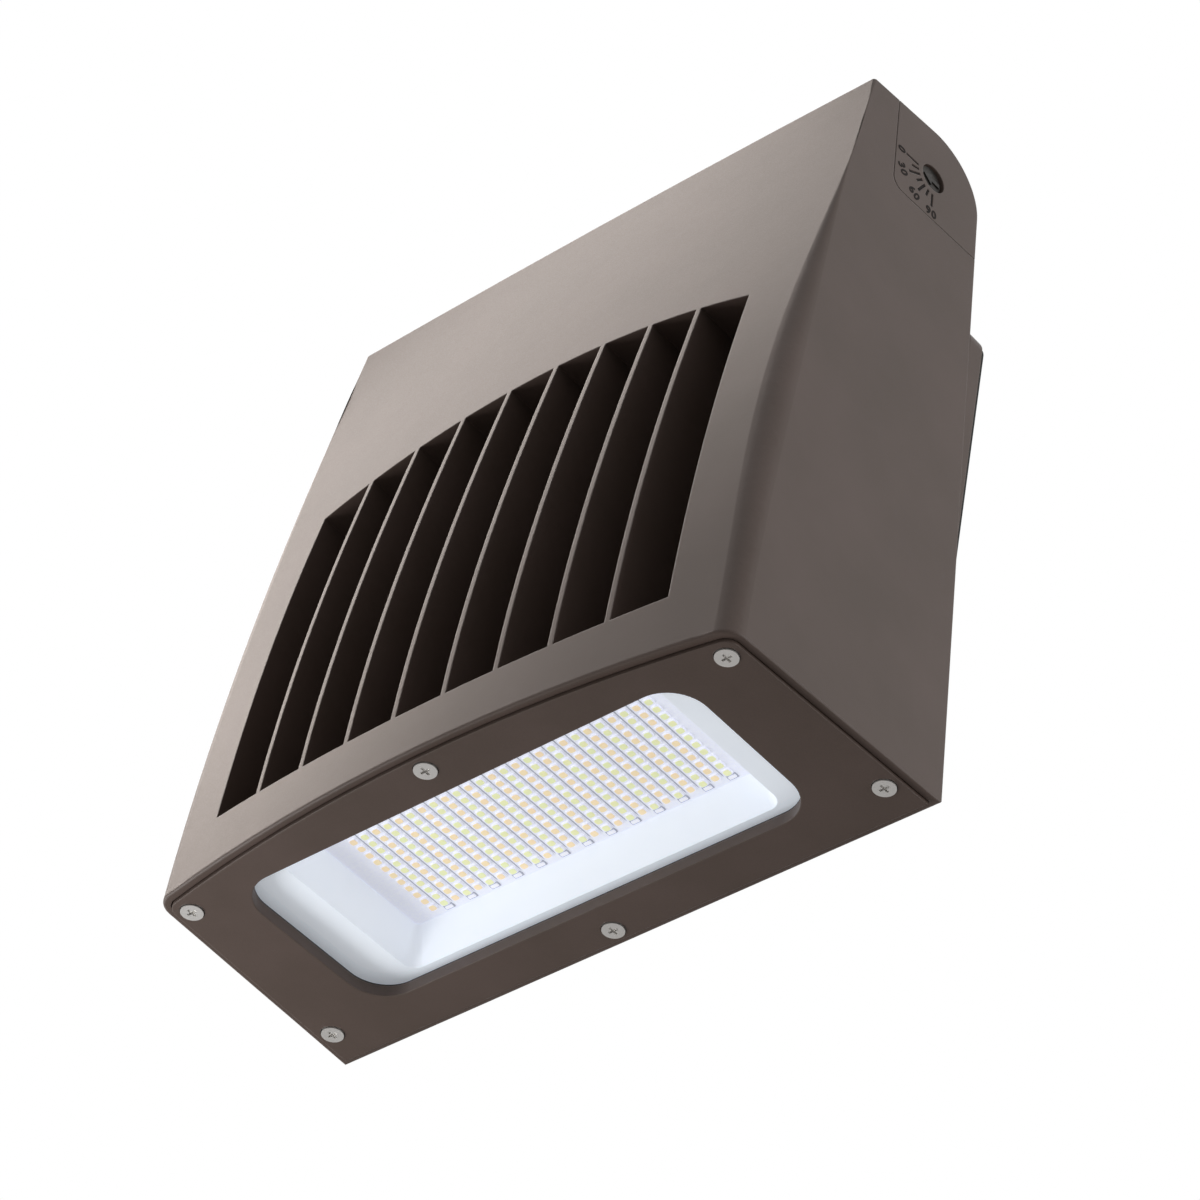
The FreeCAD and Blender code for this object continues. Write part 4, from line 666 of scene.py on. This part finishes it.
def dial_figures(word, side):
    """The four figures of one dial as one mesh: tops to the pivot, readable from outside."""
    work = bmesh.new()
    for text, (degrees, radius) in FIGURES.items():
        out = Vector((0, cos(radians(degrees)), sin(radians(degrees))))
        reading = Vector((0, -out.z, out.y)) * side
        turn = Matrix((reading, -out, Vector((side, 0, 0)))).transposed().to_4x4()
        made = figure_mesh(text)
        place = Vector((0, pivot.y, pivot.z)) + out * radius * MM
        made.transform(Matrix.Translation(place) @ turn)
        work.from_mesh(made)
        bpy.data.meshes.remove(made)
    bmesh.ops.remove_doubles(work, verts=work.verts, dist=WELD)
    mesh = bpy.data.meshes.new("dial_figures_" + word)
    work.to_mesh(mesh)
    work.free()
    drop_onto("dial_cover_" + word, side, FIGURE_PROUD)(mesh)
    piece = bpy.data.objects.new("dial_figures_" + word, mesh)
    mesh.materials.append(dial_paint)
    bpy.context.scene.collection.objects.link(piece)
    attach(piece, "head")
    print(piece.name, "-", len(mesh.polygons), "faces")


for word, side in SIDES:
    dial_figures(word, side)

# %% [markdown]
# The camera stands below the light and looks up, a long way off, as a product photographer with
# a long lens does. Its place was worked out from the straight edges of the head: how far they
# lean together in the photo says where the camera stood.

# %% Camera
FOCAL_PIXELS, IMAGE_PIXELS, SENSOR = 4510.26, 1200, 36.0
AZIMUTH, ELEVATION, ROLL = radians(45.3233), radians(-42.8775), radians(8.2402)
HEAD_WIDTH = 0.25  # the unit in which the camera's distance was found
AWAY, ASIDE, UP = 5.849, -0.0389, 0.4419
RIM_MIDDLE = Vector((0, -0.0113, -0.167))  # the rear of the head's rim, in the frame
NEAREST, FARTHEST = 0.01, 50

back = Vector((sin(AZIMUTH) * cos(ELEVATION), -cos(AZIMUTH) * cos(ELEVATION), sin(ELEVATION)))
level_right = Vector((-back.y, back.x, 0)).normalized()
level_up = level_right.cross(-back)
right = cos(ROLL) * level_right + sin(ROLL) * level_up
up = -sin(ROLL) * level_right + cos(ROLL) * level_up
spot = (back * AWAY + right * ASIDE + up * UP) * HEAD_WIDTH + RIM_MIDDLE
camera = bpy.data.objects.new("camera", bpy.data.cameras.new("camera"))
camera.data.sensor_width = SENSOR
camera.data.lens = FOCAL_PIXELS / IMAGE_PIXELS * SENSOR
camera.data.clip_start, camera.data.clip_end = NEAREST, FARTHEST
turn = Matrix((right, up, back)).transposed()
camera.matrix_world = Matrix.Translation(spot) @ turn.to_4x4()
bpy.context.scene.collection.objects.link(camera)
bpy.context.scene.camera = camera
print("camera at", [round(v, 3) for v in spot], "lens", round(camera.data.lens, 1), "mm")

# %% [markdown]
# The lamps are large and soft. The key lamp hangs high on the left and lights the sloped top, as
# daylight would. A small lamp on the left fades across the front face, a weak one from below
# left reaches the window and its frame, and one on the right evens the side with the dial.

# %% Lamps
AIM = Vector((0, -0.06, -0.03))  # near the middle of the head
WARM_WHITE = "#fff3ea"


def soft_lamp(name, place, power, size, tint="#ffffff"):
    """A square lamp that points at the object, with its power in watts and its side in metres."""
    lamp = bpy.data.objects.new(name, bpy.data.lights.new(name, "AREA"))
    lamp.data.energy, lamp.data.size, lamp.data.color = power, size, to_linear(tint)[:3]
    lamp.location = place
    lamp.rotation_mode = "QUATERNION"
    lamp.rotation_quaternion = (AIM - Vector(place)).to_track_quat("-Z", "Y")
    bpy.context.scene.collection.objects.link(lamp)
    print(name, "-", power, "W,", size, "m wide,", round((AIM - Vector(place)).length, 2), "m away")


soft_lamp("key_lamp", (-1.0, -0.25, 1.5), 17, 1.3, WARM_WHITE)
soft_lamp("left_lamp", (-0.8, -0.5, 0.45), 2.9, 0.5, WARM_WHITE)
soft_lamp("low_lamp", (-0.42, -0.22, -0.42), 2.0, 0.3)
soft_lamp("side_lamp", (1.1, 0.3, -0.15), 6.0, 0.8)

# %% [markdown]
# The world is white paper to the camera and to reflections, and a dimmer room as a light. One
# background for both would either wash out the shading or turn the paper grey. The Light Path
# node tells which ray is asking.

# %% Background
ROOM, PAPER = 0.28, 1.0  # strengths, as a light and as the camera sees it
world = bpy.data.worlds.new("white_studio")
bpy.context.scene.world = world
world.use_nodes = True
sky = world.node_tree
sky.nodes.clear()
rays = add(sky, "ShaderNodeLightPath")
seen = add(sky, "ShaderNodeMath", {"operation": "MAXIMUM"},
           {0: (rays, "Is Camera Ray"), 1: (rays, "Is Transmission Ray")})
seen = add(sky, "ShaderNodeMath", {"operation": "MAXIMUM"}, {0: seen, 1: (rays, "Is Glossy Ray")})
room = add(sky, "ShaderNodeBackground", None, {"Color": to_linear("#ffffff"), "Strength": ROOM})
paper = add(sky, "ShaderNodeBackground", None, {"Color": to_linear("#ffffff"), "Strength": PAPER})
mixed = add(sky, "ShaderNodeMixShader", None, {0: seen, 1: room, 2: paper})
add(sky, "ShaderNodeOutputWorld", None, {"Surface": mixed})
print(world.name, "lights with", ROOM, "and looks like", PAPER)

# %% [markdown]
# The floor is pale paper, far enough below that the light seems to hang in front of its wall. It
# sends a little light back to the underside. So far down it would look grey, so a small emission
# that only the camera sees makes it pale, and the shadow on it stays.

# %% Floor
FLOOR_LEVEL, FLOOR_SIZE = -1.6, 12.0  # metres
FLOOR_GLOW = 0.5  # what the camera sees on top of the paper's own colour
floor_mesh = bpy.data.meshes.new("floor")
half = FLOOR_SIZE / 2
floor_mesh.from_pydata([(-half, -half, FLOOR_LEVEL), (half, -half, FLOOR_LEVEL),
                        (half, half, FLOOR_LEVEL), (-half, half, FLOOR_LEVEL)], [], [(0, 1, 2, 3)])
floor = bpy.data.objects.new("floor", floor_mesh)
bpy.context.scene.collection.objects.link(floor)
studio_paper = simple_finish("pale_studio_paper", "#e9e9e9", "#efefef", 0.8, 9.0, 0.02)
paper_tree = studio_paper.node_tree
paper_shader = next(n for n in paper_tree.nodes if n.bl_idname == "ShaderNodeBsdfPrincipled")
for_camera = add(paper_tree, "ShaderNodeMath", {"operation": "MULTIPLY"},
                 {0: (add(paper_tree, "ShaderNodeLightPath"), "Is Camera Ray"), 1: FLOOR_GLOW})
paper_tree.links.new(for_camera.outputs[0], paper_shader.inputs["Emission Strength"])
floor_mesh.materials.append(studio_paper)
print("the floor is", FLOOR_SIZE, "m wide and lies at", FLOOR_LEVEL, "m")

# %% [markdown]
# Last come the colour settings.

# %% Finish
bpy.context.scene.view_settings.view_transform = "Standard"
